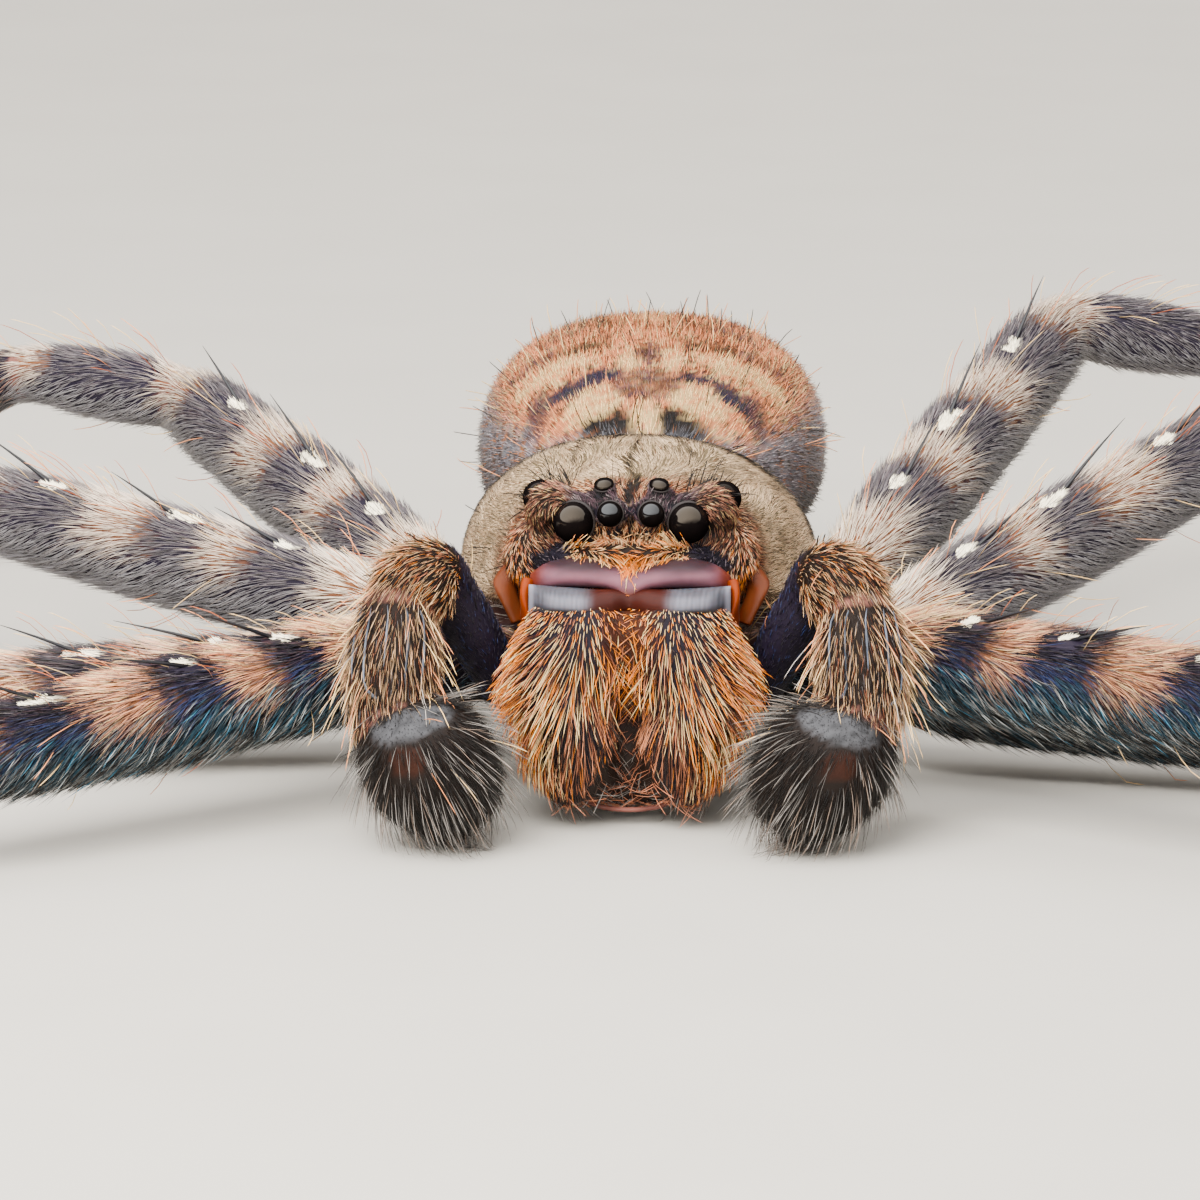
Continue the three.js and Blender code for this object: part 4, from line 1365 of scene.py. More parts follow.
def lens_material(name, tint):
    """Lens: clear polished horn over black, with a painted reflection: each point's dye sets how strongly
    it reflects, none towards the lower rim, and tint colours the reflection.
    """

    def paint(tree, shader):
        paint_two(tree, shader, 0.4, linear("#0d0908"), linear("#020203"))
        own = add_node(tree, "ShaderNodeAttribute", {"attribute_name": "dye"})
        # painted reflection: the dye's strength sets how strongly each point of the lens reflects
        tree.links.new(own.outputs["Fac"], shader.inputs["Specular IOR Level"])

    return new_material(name, {"Roughness": 0.03, "IOR": 1.5, "Specular Tint": (*tint, 1.0)}, paint)


def dyed_horn_material():
    """Bare horn of the jaw base, wet-looking, with its colours from the piece's own dye."""

    def paint(tree, shader):
        paint_dyed(tree, shader, 0.4, 0.8, 1.2)

    values = {
        "Roughness": 0.42,
        "Specular IOR Level": 0.16,
        "Subsurface Weight": 0.2,
        "Subsurface Radius": (0.0006, 0.0002, 0.0001),
        "IOR": 1.5,
    }
    return new_material("polished horn", values, paint)


# Pieces

STATE = {}  # the skin's Surface, once it is built


def surface():
    """The skin that the coats grow on."""
    if "surface" not in STATE:
        raise RuntimeError("Build the skin first")
    return STATE["surface"]


def deselect_all():
    """Leaves no object selected."""
    for obj in bpy.context.selected_objects:
        obj.select_set(False)


def raw_piece(name, points, faces):
    """A new object from points in millimetres and faces, selected and active."""
    mesh = bpy.data.meshes.new(name)
    mesh.from_pydata(points.tolist(), [], faces)
    obj = new_object(name, mesh)
    deselect_all()
    obj.select_set(True)
    bpy.context.view_layer.objects.active = obj
    return obj


def face_outward():
    """Turns the faces of the active object outwards."""
    bpy.ops.object.mode_set(mode="EDIT")
    bpy.ops.mesh.select_all(action="SELECT")
    bpy.ops.mesh.normals_make_consistent(inside=False)
    bpy.ops.object.mode_set(mode="OBJECT")


def plain_piece(name, points, faces):
    """A new object with its faces turned outwards and shaded smooth."""
    obj = raw_piece(name, points, faces)
    face_outward()
    bpy.ops.object.shade_smooth()
    return obj


def melted_piece(name, points, faces, voxel, smoothing):
    """Overlapping closed shapes joined into one on a grid of voxel millimetres, then smoothed."""
    obj = raw_piece(name, points, faces)
    face_outward()
    obj.data.remesh_voxel_size = voxel
    bpy.ops.object.voxel_remesh()
    smooth = obj.modifiers.new("smooth", "SMOOTH")
    smooth.iterations = smoothing
    bpy.ops.object.modifier_apply(modifier=smooth.name)
    bpy.ops.object.shade_smooth()
    return obj


def finish_piece(obj, material, slot, *nodes):
    """Moves a piece made in millimetres to its place in the frame, and settles it there."""
    mesh = obj.data
    co = np.empty(len(mesh.vertices) * 3, np.float32)
    mesh.vertices.foreach_get("co", co)
    co = (co.reshape(-1, 3) + SHIFT) * MM
    mesh.vertices.foreach_set("co", co.astype(np.float32).ravel())
    mesh.update()
    return settle(obj, material, slot, *nodes)


class SPIDER_OT_skin(bpy.types.Operator):
    """Joins all flesh into one skin that lies inside the solids by the depth of the coat"""

    bl_idname = "spider.skin"
    bl_label = "Skin"

    def execute(self, context):
        lofts = Lofts()
        for part in (skin_carapace, skin_belly, skin_jaws, skin_palps, skin_legs, skin_abdomen, skin_head):
            part(lofts)
        obj = melted_piece("skin", lofts.gathered()["points"], lofts.faces, sizes().voxel, 4)
        found = Surface(obj, lofts)
        STATE["surface"] = found
        rng = np.random.default_rng(1)
        colours = np.zeros((len(found.points), 3))
        for name in found.names:
            colours[found.where(name)] = dress(found.spots(name), rng).skin
        set_colours(obj.data, colours)
        soft = [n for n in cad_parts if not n.startswith(("eye_", "fang_"))]
        finish_piece(obj, skin_material(), "belly", *soft)
        return {"FINISHED"}


LENS_PAINTED_REFLECTION = {  # painted reflection of each pair: its strength, where it ends below, and how near it comes to the rim
    "front_side": (0.62, 0.0, 0.9),
    "front_middle": (0.8, -0.12, 0.86),
    "back_side": (0.12, 0.2, 0.9),
    "back_middle": (0.6, -0.6, 1.0),
}


class SPIDER_OT_eyes(bpy.types.Operator):
    """Makes eight polished lenses, each in a dark horny ring"""

    bl_idname = "spider.eyes"
    bl_label = "Eyes"

    def execute(self, context):
        # painted reflection colours: brownish on most lenses, bluish on the front middle pair
        brown = lens_material("polished lens", (1.0, 0.84, 0.66))
        pale = lens_material("polished pale lens", (0.9, 0.95, 1.0))
        ring = simple_material("eye ring horn", "#1d1514", "#080606", 0.2, 0.6, bump=0.3)
        for pair, (place, radius, way) in EYES.items():
            for sign, side in SIDES:
                name = f"{pair}_{side}"
                middle = (mirrored(place, sign) + SHIFT) * MM
                look = Vector(unit(mirrored(way, sign)))
                self.lens(name, pair, middle, look, radius, pale if pair == "front_middle" else brown)
                self.rim(name, Vector(middle) - look * radius * 0.3 * MM, look, radius, ring)
        return {"FINISHED"}

    def lens(self, name, pair, middle, look, radius, material):
        """A polished ball, flat where the pair is the one on top of the head."""
        turn = look.to_track_quat("Z", "Y").to_euler()
        deselect_all()
        bpy.ops.mesh.primitive_uv_sphere_add(
            segments=40, ring_count=20, radius=radius * MM, location=middle, rotation=turn
        )
        eye = bpy.context.object
        eye.name = f"lens_{name}"
        if pair == "back_middle":
            eye.scale = (1.0, 1.0, 0.55)
        self.apply()
        set_colours(eye.data, self.gloss(pair, unit(vertex_data(eye.data, "co") - middle)))
        settle(eye, material, "eye", f"eye_{name}")

    def rim(self, name, middle, look, radius, material):
        """The dark ring that the lens sits in."""
        deselect_all()
        bpy.ops.mesh.primitive_torus_add(
            major_segments=40,
            minor_segments=10,
            major_radius=radius * 0.97 * MM,
            minor_radius=radius * 0.1 * MM,
            location=middle,
            rotation=look.to_track_quat("Z", "Y").to_euler(),
        )
        rim = bpy.context.object
        rim.name = f"eye_ring_{name}"
        self.apply()
        settle(rim, material, "horn")

    def apply(self):
        """Turns the place, turn and scale of the active object into its mesh, and shades it smooth."""
        bpy.ops.object.transform_apply(location=True, rotation=True, scale=True)
        bpy.ops.object.shade_smooth()

    def gloss(self, pair, way):
        """Painted reflection: how strongly each point of a lens reflects, in a patch on its upper part as
        seen from the camera only, most on the left.
        """
        tilt = math.radians(ELEVATION)
        right, up = way[:, 0], way @ np.array([0, math.sin(tilt), math.cos(tilt)])
        peak, low, reach = LENS_PAINTED_REFLECTION[pair]
        inside = ramp(low - 0.1, low + 0.14, up + 0.1 * noise(way, 0.5, 46) - 0.1 * right)
        inside = inside * ramp(reach + 0.04, reach - 0.1, np.hypot(right, up))
        inside = inside * ramp(-0.8, -0.62, right)
        level = inside * peak * (1 - 0.66 * ramp(-0.3, 0.9, right))
        return level[:, None] * np.ones(3)


def tube_piece(paths, sides=16):
    """Points and faces of closed tubes. Each path is (points, half width, half height)."""
    points, faces, start = [], [], 0
    for middle, half, high in paths:
        lofts = Lofts()
        lofts.add("tube", middle, half, high, high, sides=sides)
        points.append(lofts.gathered()["points"])
        faces += [[start + i for i in f] for f in lofts.faces]
        start += len(points[-1])
    return np.concatenate(points), faces


def curve_points(stops, count):
    """Points on a smooth line through stops."""
    stops = np.array(stops, float)
    places = np.linspace(0, 1, len(stops))
    t = np.linspace(0, 1, count)
    return np.stack([curve(*zip(places, stops[:, k]))(t) for k in range(3)], axis=1)


BAND_HALF = 2.95  # half width of the bare band over the jaws
BAND_TOP = ((0, 7.5), (0.4, 7.56), (0.9, 7.68), (1.5, 7.76), (2.1, 7.68), (2.6, 7.48), (BAND_HALF, 7.2))
BAND_NOTCH = ((0, 6.5), (0.16, 6.54), (0.34, 6.76), (0.56, 6.88))
BAND_BOTTOM = ((0.9, 6.93), (1.5, 6.93), (2.2, 6.88), (2.6, 6.8), (BAND_HALF, 6.74))
BAND_DEPTH = ((0, 0.74), (0.5, 0.74), (1.5, 0.8), (2.4, 0.66), (BAND_HALF, 0.24))
PLATE_IN, PLATE_OUT = -0.08, 2.96  # inner and outer ends of a pale plate
PLATE_FRONT = ((0, -9.5), (0.5, -9.85), (1.2, -10.2), (1.8, -10.2), (2.4, -9.85), (PLATE_OUT, -9.0))
PLATE_TOP = 7.04
JAW_RIM = ((-1.5, -9.35, 1.0), (-1.0, -9.6, 0.6), (0, -9.7, 0.48), (1.0, -9.6, 0.6), (1.5, -9.35, 1.0))


class SPIDER_OT_jaw_base(bpy.types.Operator):
    """Makes the bare polished band over the jaws, their pale upper plates and the soft side strips"""

    bl_idname = "spider.jaw_base"
    bl_label = "Jaw base"

    def execute(self, context):
        self.band()
        self.strips()
        self.plates()
        return {"FINISHED"}

    def band(self):
        """The dark red bar above the jaws, notched below its middle."""
        x = np.linspace(-BAND_HALF, BAND_HALF, 120)
        curves = (BAND_TOP, BAND_NOTCH + BAND_BOTTOM, BAND_DEPTH)
        top, bottom, depth = (curve(*stops)(np.abs(x)) for stops in curves)
        obj = cross_ribs("jaw_band", x, -8.68 + 0.06 * x * x, top, bottom, depth, 44)
        p = vertex_data(obj.data, "co")
        side = np.abs(p[:, 0])
        wave = 0.5 + 0.5 * noise(p * [0.35, 1, 1.6], 0.3, 43)
        colours = mix(dye("plum") * [0.54, 0.45, 0.48], dye("plum") * [0.8, 0.63, 0.66], wave)
        colours = mix(colours, dye("plum") * 0.12, ramp(7.35, 7.65, p[:, 2]))
        colours = mix(colours, linear("#4a1a10"), ramp(2.35, 2.85, side))
        notch = ramp(0.7, 0.2, side) * ramp(7.2, 6.8, p[:, 2])
        finish_bare(obj, mix(colours, linear("#54302a"), notch))

    def strips(self):
        """The soft strips and lobes beside the band, and the rim between the tips of the jaws."""
        paths = []
        for sign, _ in SIDES:
            strip = mirrored([(2.98, -8.3, 7.05), (3.08, -8.6, 6.5), (3.04, -8.75, 5.6)], sign)
            paths.append((curve_points(strip, 24), np.linspace(0.21, 0.09, 24), 0.3))
            lobe = mirrored([(3.4, -6.7, 7.3), (3.74, -7.1, 6.7), (3.3, -7.5, 5.6)], sign)
            paths.append((curve_points(lobe, 24), 0.16 + 0.22 * np.sin(np.linspace(0, 2.4, 24)), 0.18))
        paths.append((curve_points(JAW_RIM, 30), np.full(30, 0.1), 0.08))
        obj = melted_piece("jaw_hinges", *tube_piece(paths), 0.06, 6)
        p = vertex_data(obj.data, "co")
        outer = ramp(3.2, 3.35, np.abs(p[:, 0]))
        colours = mix(linear("#642200"), linear("#50240f"), outer)
        colours = mix(colours, linear("#6b4038"), (p[:, 2] < 2).astype(float))
        finish_bare(obj, colours * (0.8 + 0.3 * noise(p, 0.4, 44))[:, None])

    def plates(self):
        """The pale horny plate across the top of each jaw."""
        x = np.linspace(PLATE_IN, PLATE_OUT, 90)
        front = curve((PLATE_IN, -9.5), *PLATE_FRONT)(x)
        bottom = curve((PLATE_IN, 6.2), (0.6, 6.2), (2.4, 6.2), (PLATE_OUT, 5.9))(x)
        depth = curve((PLATE_IN, 0.5), (0.2, 0.5), (2.7, 0.5), (PLATE_OUT, 0.2))(x)
        top = np.full(90, PLATE_TOP)
        for sign, name in SIDES:
            obj = cross_ribs(f"jaw_plate_{name}", sign * x, front + depth, top, bottom, depth, 32)
            p = vertex_data(obj.data, "co")
            side = np.abs(p[:, 0])
            streak = 0.5 + 0.5 * noise(p * [9.0, 1.0, 1.0], 0.5, 41)
            pale = linear("#6f6e79")
            middle = ramp(7.0, 6.85, p[:, 2]) * ramp(2.6, 2.2, side)
            colours = mix(pale * 0.2, pale * 0.64, 0.4 * streak + 0.6 * middle)
            colours = mix(colours, pale * 0.12, ramp(6.7, 6.5, p[:, 2]))
            colours = mix(colours, linear("#2a0d08"), ramp(1.5, 0.9, side))
            colours = mix(colours, pale * 0.8, ramp(2.74, 2.88, side))
            finish_bare(obj, colours)


def cross_ribs(name, x, y, top, bottom, depth, sides):
    """A closed body across X made of upright ellipses, one at each x."""
    turn = np.linspace(0, 2 * np.pi, sides, endpoint=False)
    middle, half = (top + bottom) / 2, (top - bottom) / 2
    points = np.stack(
        [
            np.repeat(x[:, None], sides, axis=1),
            y[:, None] - depth[:, None] * np.cos(turn)[None],
            middle[:, None] + half[:, None] * np.sin(turn)[None],
        ],
        axis=-1,
    ).reshape(-1, 3)
    faces = []
    for i in range(len(x) - 1):
        for j in range(sides):
            a, b = i * sides + j, i * sides + (j + 1) % sides
            faces.append([a, b, b + sides, a + sides])
    faces.append(list(range(sides)))
    faces.append(list(range(len(points) - sides, len(points)))[::-1])
    return plain_piece(name, points, faces)


def finish_bare(obj, colours):
    """Gives a bare polished piece its dye, material and place."""
    set_colours(obj.data, colours)
    return finish_piece(obj, dyed_horn_material(), "jaw")


FANG = ((2.1, -7.75, 1.5), (1.7, -7.5, 0.98), (1.1, -7.35, 0.95), (0.55, -7.35, 1.2))
SPINE_PAIRS = ((3, (0.2, 0.55, 0.85)), (4, (0.12, 0.45)))  # article, and shares of it with two spines


class SPIDER_OT_horn(bpy.types.Operator):
    """Makes the fangs, the claws of the feet and the big spines of the legs"""

    bl_idname = "spider.horn"
    bl_label = "Fangs, claws and spines"

    def execute(self, context):
        horn = simple_material("black horn", "#2b1a12", "#070504", 0.5, 0.22, coat=0.4, bump=0.2)
        for sign, side in SIDES:
            r = np.linspace(0.4, 0.05, 24)
            tube = tube_piece([(curve_points(mirrored(FANG, sign), 24), r, r)])
            obj = melted_piece(f"fang_horn_{side}", *tube, 0.06, 6)
            finish_piece(obj, horn, "horn", f"fang_{side}")
        self.claws(horn)
        self.spines()
        return {"FINISHED"}

    def claws(self, horn):
        """Two small hooks at the tip of each foot."""
        paths = []
        r = np.linspace(0.075, 0.02, 12)
        for leg in LEGS:
            _, line, _ = rounded_path(leg_joints(leg))
            tip, way = line[-1], unit(line[-1] - line[-6])
            across = np.cross(UP, way)
            for sign, _ in SIDES:
                root = tip + across * sign * 0.13 - way * 0.1 + UP * 0.05
                bends = ((0.3, 0.06), (0.52, -0.08), (0.6, -0.3))
                stops = [root] + [root + way * ahead + UP * rise for ahead, rise in bends]
                paths.append((curve_points(stops, 12), r, r))
        finish_piece(thorns("claws", *tube_piece(paths, 8)), horn, "horn")

    def spines(self):
        """The big spines of the thighs, and smaller ones in pairs on shin and foot."""
        spine = simple_material("spine horn", "#15161c", "#070608", 0.3, 0.35, coat=0.2)
        paths = []
        rng = np.random.default_rng(7)
        for leg in LEGS:
            pair, side = leg[0], leg[1]
            _, line, knots = rounded_path(leg_joints(leg))
            s = np.linspace(0, knots[-1], len(line))
            tangent = unit(np.gradient(line, axis=0))
            radius = leg_radius(knots)
            places = [(1, share, turn, 2.5) for share, turn in LEG_SPOTS[pair]]
            for article, shares in SPINE_PAIRS:
                places += [(article, share, turn, 2.0) for share in shares for turn in (-35, 215)]
            for article, share, turn, length in places:
                at = knots[article] + share * (knots[article + 1] - knots[article])
                i = np.searchsorted(s, at)
                along = tangent[i]
                across = unit(np.cross(UP, along)) * (1 if side == "left" else -1)
                up = unit(np.cross(along, np.cross(UP, along)))
                a = math.radians(turn + rng.normal() * 4)
                out = unit(across * math.cos(a) + up * math.sin(a))
                root = line[i] + out * (radius(at) - 0.1)
                lean = math.radians(rng.uniform(16, 32))
                size = length * rng.uniform(0.85, 1.15)
                way = along * math.cos(lean) + out * math.sin(lean)
                t = np.linspace(0, 1, 9)[:, None]
                bow = along * 0.14 * size * t**2
                r = 0.06 * (1 - t[:, 0] ** 1.6) + 0.006
                paths.append((root + way * size * t + bow, r, r))
        points, faces = tube_piece(paths, 7)
        points[:, 2] = np.maximum(points[:, 2], 0.03)
        finish_piece(thorns("leg_spines", points, faces), spine, "horn")


def thorns(name, points, faces):
    """A smooth-shaded object of many small tubes."""
    obj = raw_piece(name, points, faces)
    bpy.ops.object.shade_smooth()
    return obj


HEAD_BACK = -5.1  # where the head's own coat starts
Layer = namedtuple("Layer", "spots coat rings bend spread row")


def main_layer(name, rng, rings, bend, spread, row, scale=1.0, keep=0):
    """The short coat of one region. A keep of -1 leaves only the head's side of it, 1 the other side."""
    skin = surface()
    area = skin.spots(name)
    density = dress(area, np.random.default_rng(3)).density * scale
    if keep:
        density = density * ((area.points[:, 1] - HEAD_BACK) * keep > 0)
    spots = skin.sample(name, density, rng)
    return Layer(spots, dress(spots, rng), rings, bend, spread, row)


def rooted(name, density, rng):
    """Random roots on one region, their number, and the picker of their colours."""
    spots = surface().sample(name, density, rng)
    return spots, len(spots), picker(rng, len(spots))


def loose_layer(spots, tone, root, length, width, lift, rings, bend, spread, row):
    """A layer of single hairs, each of one tone that is root times as bright at its root, the darker root
    being painted shade deep in the coat.
    """
    coat = Coat(spots, tone, tone * root, tone, 0, length, width, lift)
    return Layer(spots, coat, rings, bend, spread, row)


class SPIDER_OT_body_coat(bpy.types.Operator):
    """Grows the coats of carapace, abdomen and underside"""

    bl_idname = "spider.body_coat"
    bl_label = "Body coat"

    def execute(self, context):
        rng = np.random.default_rng(51)
        coat_piece("coat_carapace", "carapace", [main_layer("carapace", rng, 1, 0.3, 13, (0, 1), keep=1)])
        head = main_layer("carapace", rng, 2, 0.3, 13, (0, 1), keep=-1)
        coat_piece("coat_head", "carapace", [head, self.fringe(rng)])
        coat_piece("coat_abdomen", "abdomen", [main_layer("abdomen", rng, 1, 0, 14, (0, 1))])
        layers = [main_layer(n, rng, 2, 0.5, 20, (i, 2)) for i, n in enumerate(("belly", "spinnerets"))]
        coat_piece("coat_belly", "belly", layers)
        return {"FINISHED"}

    def fringe(self, rng):
        """The tuft and the short hairs that hang from the lip over the bare band."""
        zones, _ = head_zones(surface().spots("carapace").points)
        tuft, hem = zones["tuft"], zones["hem"]
        spots, n, pick = rooted("carapace", 250 * tuft + 190 * hem * (1 - tuft), rng)
        zones, _ = head_zones(spots.points)
        long = ramp(1.05, 0.25, np.abs(spots.points[:, 0]))
        tuft_dye = pick(("orange", 1.6, [1, 0.9, 1]), ("cream", 0.35), ("orange", 0.5, 0.5))
        hem_dye = pick(("cream", 1.0), ("peach", 0.5), ("orange", 0.4))
        tip = mix(hem_dye, tuft_dye, long)
        length = (0.85 + 0.42 * long) * rng.uniform(0.5, 1.15, n)
        layer = loose_layer(spots, tip, 0.12, length, 0.026, rng.uniform(30, 62, n), 4, 0.2, 20, (0, 1))
        layer.coat.over_band = True
        return layer


class SPIDER_OT_jaw_coat(bpy.types.Operator):
    """Grows the long orange and cream bristles of the jaws over a short undercoat darkened as painted shade
    """

    bl_idname = "spider.jaw_coat"
    bl_label = "Jaw coat"

    def execute(self, context):
        rng = np.random.default_rng(52)
        for _, side in SIDES:
            name = f"jaw_{side}"
            under = main_layer(name, rng, 1, 0, 20, (0, 2), 0.8)
            coat = under.coat
            # the short undercoat is darkened to a fifth, mixed with dim rust, with dark brown roots:
            # painted shade under the long bristles
            coat.ground = np.broadcast_to(dye("brown") * 0.2, coat.ground.shape)
            coat.tip = mix(coat.tip * 0.2, dye("rust") * 0.16, 0.5)
            coat.length = coat.length * 0.35
            over = main_layer(name, rng, 3, 0.4, 9, (1, 2))
            over.coat.sway = 0.08
            coat_piece(f"coat_{name}", "jaw", [under, over, self.whiskers(name, rng)])
        return {"FINISHED"}

    def whiskers(self, name, rng):
        """A few long fine hairs that hang curved from the tip of the jaw."""
        _, y, z = surface().spots(name).points.T
        spots, n, pick = rooted(name, 7.0 * ramp(2.4, 1.6, z) * (y < -8.6), rng)
        pale = dye("peach") * [0.8, 0.76, 0.95]
        tone = pick((pale, 1.0), ("silver", 0.6, 0.6), ("brown", 0.6))
        length, lift = rng.uniform(0.7, 1.25, n), rng.uniform(14, 34, n)
        return loose_layer(spots, tone, 0.4, length, 0.022, lift, 4, 0.5, 28, (1, 2))


class SPIDER_OT_palp_coat(bpy.types.Operator):
    """Grows the coats of the palps, with pale straight bristles over their dark tips"""

    bl_idname = "spider.palp_coat"
    bl_label = "Palp coat"

    def execute(self, context):
        rng = np.random.default_rng(53)
        for sign, side in SIDES:
            name = f"palp_{side}"
            under = main_layer(name, rng, 1, 0, 10, (0, 2))
            over = main_layer(name, rng, 3, 0.25, 12, (1, 2), 0.16)
            self.restyle(over.spots, over.coat, sign, rng)
            dull = np.where(palp_parts(under.spots)[1] == 4, 0.7, 1.0)
            under.coat.tip = under.coat.tip * dull[:, None]
            coat_piece(f"coat_{name}", "foot", [under, over, self.sweeping(name, rng)])
        self.ridges()
        return {"FINISHED"}

    def restyle(self, spots, coat, sign, rng):
        """Turns the short coat into the longer bristles over it, silvery on the last article."""
        _, article, _, _ = palp_parts(spots)
        tarsus = article == 4
        pick = picker(rng, len(spots))
        silver = dye("silver")
        reddish = silver * [0.6, 0.48, 0.4]
        pale = pick((silver * 0.62, 1.0), (silver * 0.2, 1.2), (reddish, 0.5))
        bright = mix(coat.tip, dye("cream") * [0.9, 0.84, 0.95], 0.4 * (article >= 2))
        crown, _ = palp_patches(spots, sign)
        coat.tip = mix(np.where(tarsus[:, None], pale, bright), dye("black"), crown)
        # roots at 0.15 of the tip colour: painted shade deep in the coat
        coat.ground = coat.tip * 0.15
        coat.length = coat.length * np.where(tarsus, 2.25, 1.35)
        coat.width = np.where(tarsus, 0.024, 0.026)
        coat.lift = coat.lift + np.where(tarsus, 18, 8)

    def sweeping(self, name, rng):
        """Long pale hairs down both sides of the shin, and black spines on the knee."""
        area = surface().spots(name)
        article = palp_parts(area)[1]
        shin = (article == 3) * (np.abs(area.normals[:, 0]) > 0.55)
        spots, n, pick = rooted(name, 3.5 * shin + 1.3 * (article == 2) * (area.normals[:, 2] > 0.2), rng)
        knee = palp_parts(spots)[1] == 2
        pale = pick(("cream", 1.0, 0.9), ("peach", 0.6, 0.9), ("silver", 0.5))
        tone = np.where(knee[:, None], dye("black"), pale)
        length = np.where(knee, rng.uniform(0.5, 0.9, n), rng.uniform(1.2, 2.0, n))
        lift = np.where(knee, 60, rng.uniform(28, 48, n))
        return loose_layer(spots, tone, 0.6, length, np.where(knee, 0.07, 0.03), lift, 4, 0.3, 12, (1, 2))

    def ridges(self):
        """Bare glossy lines down the shins."""
        paths = []
        for sign, _ in SIDES:
            s, line, knots = palp_path(sign)
            tangent = unit(np.gradient(line, axis=0))
            up = unit(UP - tangent * (tangent @ UP)[:, None])
            across = np.cross(up, tangent)
            radius = palp_radius(knots)(s) + 0.03
            share = (s - knots[3]) / (knots[4] - knots[3])
            keep = (share > 0.1) & (share < 0.92)
            for i, angle in enumerate(np.radians(STRIPE_ANGLES)):
                out = across * math.cos(angle) + up * math.sin(angle)
                path = (line + out * (radius - 0.02)[:, None])[keep]
                reach = len(path) - (i % 3) * 2
                width = 0.036 * np.sin(np.linspace(0.25, 2.9, reach))
                paths.append((path[:reach], width, 0.05))
        points, faces = tube_piece(paths, 10)
        obj = plain_piece("palp_ridges", points, faces)
        streak = 0.5 + 0.5 * noise(points, 0.5, 45)
        finish_bare(obj, mix(linear("#20242c"), linear("#646b78"), streak))


class SPIDER_OT_leg_coat(bpy.types.Operator):
    """Grows the banded coat of each leg, with white scales at the feet of its spines"""

    bl_idname = "spider.leg_coat"
    bl_label = "Leg coat"

    def execute(self, context):
        for i, leg in enumerate(LEGS):
            rng = np.random.default_rng(60 + i)
            name = f"leg_{leg[0]}_{leg[1]}"
            layers = [main_layer(name, rng, 1, 0, 8, (0, 1)), self.scales(name, rng)]
            if leg[0] == 1:
                layers.append(self.strands(name, rng))
            coat_piece(f"coat_{name}", "thigh", layers)
        return {"FINISHED"}

    def strands(self, name, rng):
        """Long thin silvery hairs over the blue-green lower front of the front legs."""
        _, article, _, turn, _ = leg_parts(surface().spots(name))
        low_front = (article >= 1) * (article <= 3) * (turn > -75) * (turn < 32)
        spots, n, pick = rooted(name, 9.0 * low_front, rng)
        tone = pick(
            ("silver", 0.8, [1.0, 1.2, 1.3]), ("silver", 1.0, 0.5), ("teal", 0.5, 2), ("black", 0.6),
        )
        length, lift = rng.uniform(0.9, 1.5, n), rng.uniform(14, 30, n)
        return loose_layer(spots, tone, 0.3, length, 0.03, lift, 2, 0.2, 9, (0, 1))

    def scales(self, name, rng):
        """Short broad white hairs that stand close together in the pale ovals."""
        area = surface().spots(name)
        pair, article, share, turn, _ = leg_parts(area)
        spots, n, _ = rooted(name, 520.0 * white_patches(area, pair, share, turn, article), rng)
        length, lift = rng.uniform(0.17, 0.26, n), rng.uniform(20, 50, n)
        return loose_layer(spots, dye("white"), 1.0, length, 0.08, lift, 1, 0, 25, (0, 1))


SPARSE = (  # region, hairs on a square millimetre, length, share of black ones, row of the bake map
    ("carapace", 0.3, 0.9, 1.0, 0),
    ("abdomen", 1.0, 1.2, 0.4, 1),
    ("palp_left", 0.4, 1.3, 0.7, 2),
    ("palp_right", 0.4, 1.3, 0.7, 2),
)


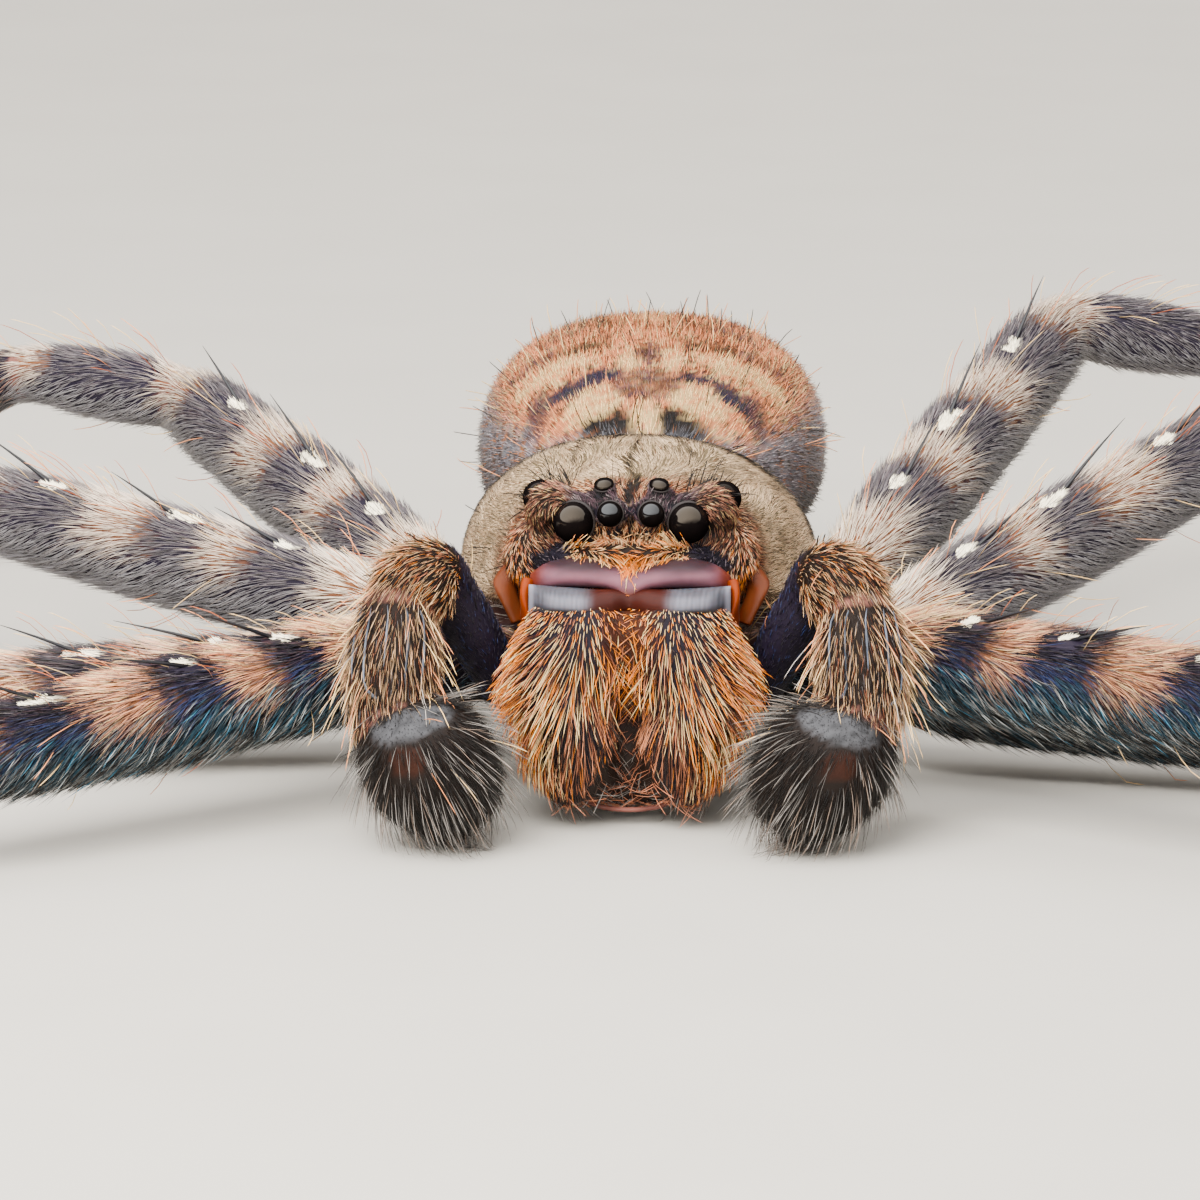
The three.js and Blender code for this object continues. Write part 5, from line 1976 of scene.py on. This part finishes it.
class SPIDER_OT_bristles(bpy.types.Operator):
    """Grows the few long curved hairs that stand up from legs, head and abdomen"""

    bl_idname = "spider.bristles"
    bl_label = "Long hairs"

    def execute(self, context):
        rng = np.random.default_rng(70)
        rows = len(LEGS) + 3
        layers = [self.on_leg(leg, rng, (i, rows)) for i, leg in enumerate(LEGS)]
        for name, density, reach, dark, row in SPARSE:
            layers.append(self.sparse(name, density, reach, dark, rng, (len(LEGS) + row, rows)))
        layers.append(self.head(rng, (len(LEGS), rows)))
        coat_piece("long_hairs", "thigh", layers)
        return {"FINISHED"}

    def on_leg(self, leg, rng, row):
        """Pale hairs, most of them along the top of the leg."""
        name = f"leg_{leg[0]}_{leg[1]}"
        _, article, _, turn, _ = leg_parts(surface().spots(name))
        top = ramp(35, 65, turn) * ramp(150, 110, turn)
        density = (1.25 * top + 0.1) * np.choose(article, [0.2, 1, 1, 0.8, 0.5, 0.2])
        spots, n, pick = rooted(name, density, rng)
        pale = pick(("cream", 1.0, 0.8), ("rust", 0.5, 1.5), ("peach", 0.8))
        length, lift = rng.uniform(1.4, 2.9, n), rng.uniform(30, 65, n)
        return loose_layer(spots, pale, 0.5, length, 0.036, lift, 4, 0.42, 14, row)

    def head(self, rng, row):
        """Black bristles on brow and cheeks."""
        x, y, z = surface().spots("carapace").points.T
        side = np.abs(x)
        brow = (side > 1.6) * (side < 3.1) * (y > -6.4) * (y < -5.0) * (z > 8.7)
        cheek = (side > 2.9) * (y < -5.6) * (y > -7.2) * (z > 7.8)
        spots, n, _ = rooted("carapace", 20.0 * brow + 2.5 * cheek, rng)
        length, lift = rng.uniform(0.7, 1.3, n), rng.uniform(55, 85, n)
        return loose_layer(spots, dye("black"), 1.0, length, 0.05, lift, 4, 0.25, 30, row)

    def sparse(self, name, density, reach, dark, rng, row):
        """Long hairs over one region, a share of them black."""
        up = np.clip(surface().spots(name).normals[:, 2] + 0.3, 0, 1)
        spots, n, pick = rooted(name, density * up, rng)
        pale = 1 - dark
        tone = pick(("black", dark), ("peach", pale, 0.7), ("cream", 0.6 * pale, 0.7))
        length, lift = reach * rng.uniform(0.8, 1.4, n), rng.uniform(35, 70, n)
        return loose_layer(spots, tone, 0.7, length, 0.036, lift, 4, 0.3, 25, row)


LAMPS = (  # name, place from what the camera looks at, size, power and colour
    ("sky", (-10, -86, 180), (1050, 600), 6.8, (1.0, 0.98, 0.95)),
    ("key", (-45, -88, 110), (130, 130), 1.15, (1.0, 0.97, 0.92)),
    ("back", (20, 240, 200), (240, 240), 1.1, (1.0, 0.97, 0.93)),
)
ROOM_COLOUR = (0.85, 0.87, 0.9, 1)
ROOM_LIGHT = 0.12
FLOOR_WIDTH = 3.0  # metres
NEAR_CLIP = 0.005  # metres


class SPIDER_OT_stage(bpy.types.Operator):
    """Sets the pale floor, the soft lights and the camera of the photograph's view"""

    bl_idname = "spider.stage"
    bl_label = "Stage"

    def execute(self, context):
        self.floor()
        self.lights()
        self.camera(context)
        return {"FINISHED"}

    def floor(self):
        """A broad pale card."""
        deselect_all()
        bpy.ops.mesh.primitive_grid_add(x_subdivisions=4, y_subdivisions=4, size=FLOOR_WIDTH)
        floor = bpy.context.object
        floor.name = "floor"
        card = simple_material("card", "#a29e97", "#9b9790", 8.0, 0.7)
        floor.data.materials.append(card)

    def lights(self):
        """A broad sky, a small key lamp and a lamp behind, all soft, in a dim room."""
        focus = np.array(TARGET) + SHIFT
        for name, offset, size, power, colour in LAMPS:
            lamp = bpy.data.lights.new(name, "AREA")
            lamp.shape = "ELLIPSE"
            lamp.size, lamp.size_y = (v * MM for v in size)
            lamp.energy = power
            lamp.color = colour
            obj = new_object(name, lamp)
            place = (focus + np.array(offset)) * MM
            obj.location = place
            obj.rotation_euler = (Vector(focus * MM) - Vector(place)).to_track_quat("-Z", "Y").to_euler()
            obj.visible_glossy = name == "sky"
        world = bpy.data.worlds.new("soft room")
        world.use_nodes = True
        background = world.node_tree.nodes["Background"]
        background.inputs["Color"].default_value = ROOM_COLOUR
        background.inputs["Strength"].default_value = ROOM_LIGHT
        bpy.context.scene.world = world

    def camera(self, context):
        """The place and lens that the photograph was taken with."""
        a, e = math.radians(AZIMUTH), math.radians(ELEVATION)
        back = np.array([math.sin(a) * math.cos(e), -math.cos(a) * math.cos(e), math.sin(e)])
        focus = np.array(TARGET) + SHIFT
        data = bpy.data.cameras.new("camera")
        data.sensor_width = SENSOR
        data.lens = SENSOR * DISTANCE * PIXELS_PER_MM / IMAGE_WIDTH
        data.clip_start = NEAR_CLIP
        camera = new_object("camera", data)
        camera.location = (focus + back * DISTANCE) * MM
        camera.rotation_euler = Vector(-back).to_track_quat("-Z", "Y").to_euler()
        context.scene.camera = camera


OPERATORS = (
    SPIDER_OT_stage,
    SPIDER_OT_skin,
    SPIDER_OT_eyes,
    SPIDER_OT_jaw_base,
    SPIDER_OT_horn,
    SPIDER_OT_body_coat,
    SPIDER_OT_jaw_coat,
    SPIDER_OT_palp_coat,
    SPIDER_OT_leg_coat,
    SPIDER_OT_bristles,
)


class SPIDER_PT_panel(bpy.types.Panel):
    """Lists the steps that build the spider"""

    bl_idname = "SPIDER_PT_panel"
    bl_label = "Spider"
    bl_space_type = "VIEW_3D"
    bl_region_type = "UI"
    bl_category = "Spider"

    def draw(self, context):
        for group in (context.scene.spider_sizes, context.scene.spider_colours):
            for key in group.__annotations__:
                self.layout.prop(group, key)
        for operator in OPERATORS:
            self.layout.operator(operator.bl_idname)


CLASSES = (SpiderColours, SpiderSizes) + OPERATORS + (SPIDER_PT_panel,)


def register():
    """Adds the classes and the two groups of settings."""
    for one in CLASSES:
        bpy.utils.register_class(one)
    bpy.types.Scene.spider_colours = PointerProperty(type=SpiderColours)
    bpy.types.Scene.spider_sizes = PointerProperty(type=SpiderSizes)


def unregister():
    """Takes all that register adds away again."""
    del bpy.types.Scene.spider_sizes
    del bpy.types.Scene.spider_colours
    for one in reversed(CLASSES):
        bpy.utils.unregister_class(one)


def main():
    """Builds the spider."""
    register()
    for operator in OPERATORS:
        group, call = operator.bl_idname.split(".")
        getattr(getattr(bpy.ops, group), call)()


if __name__ == "__main__":
    main()
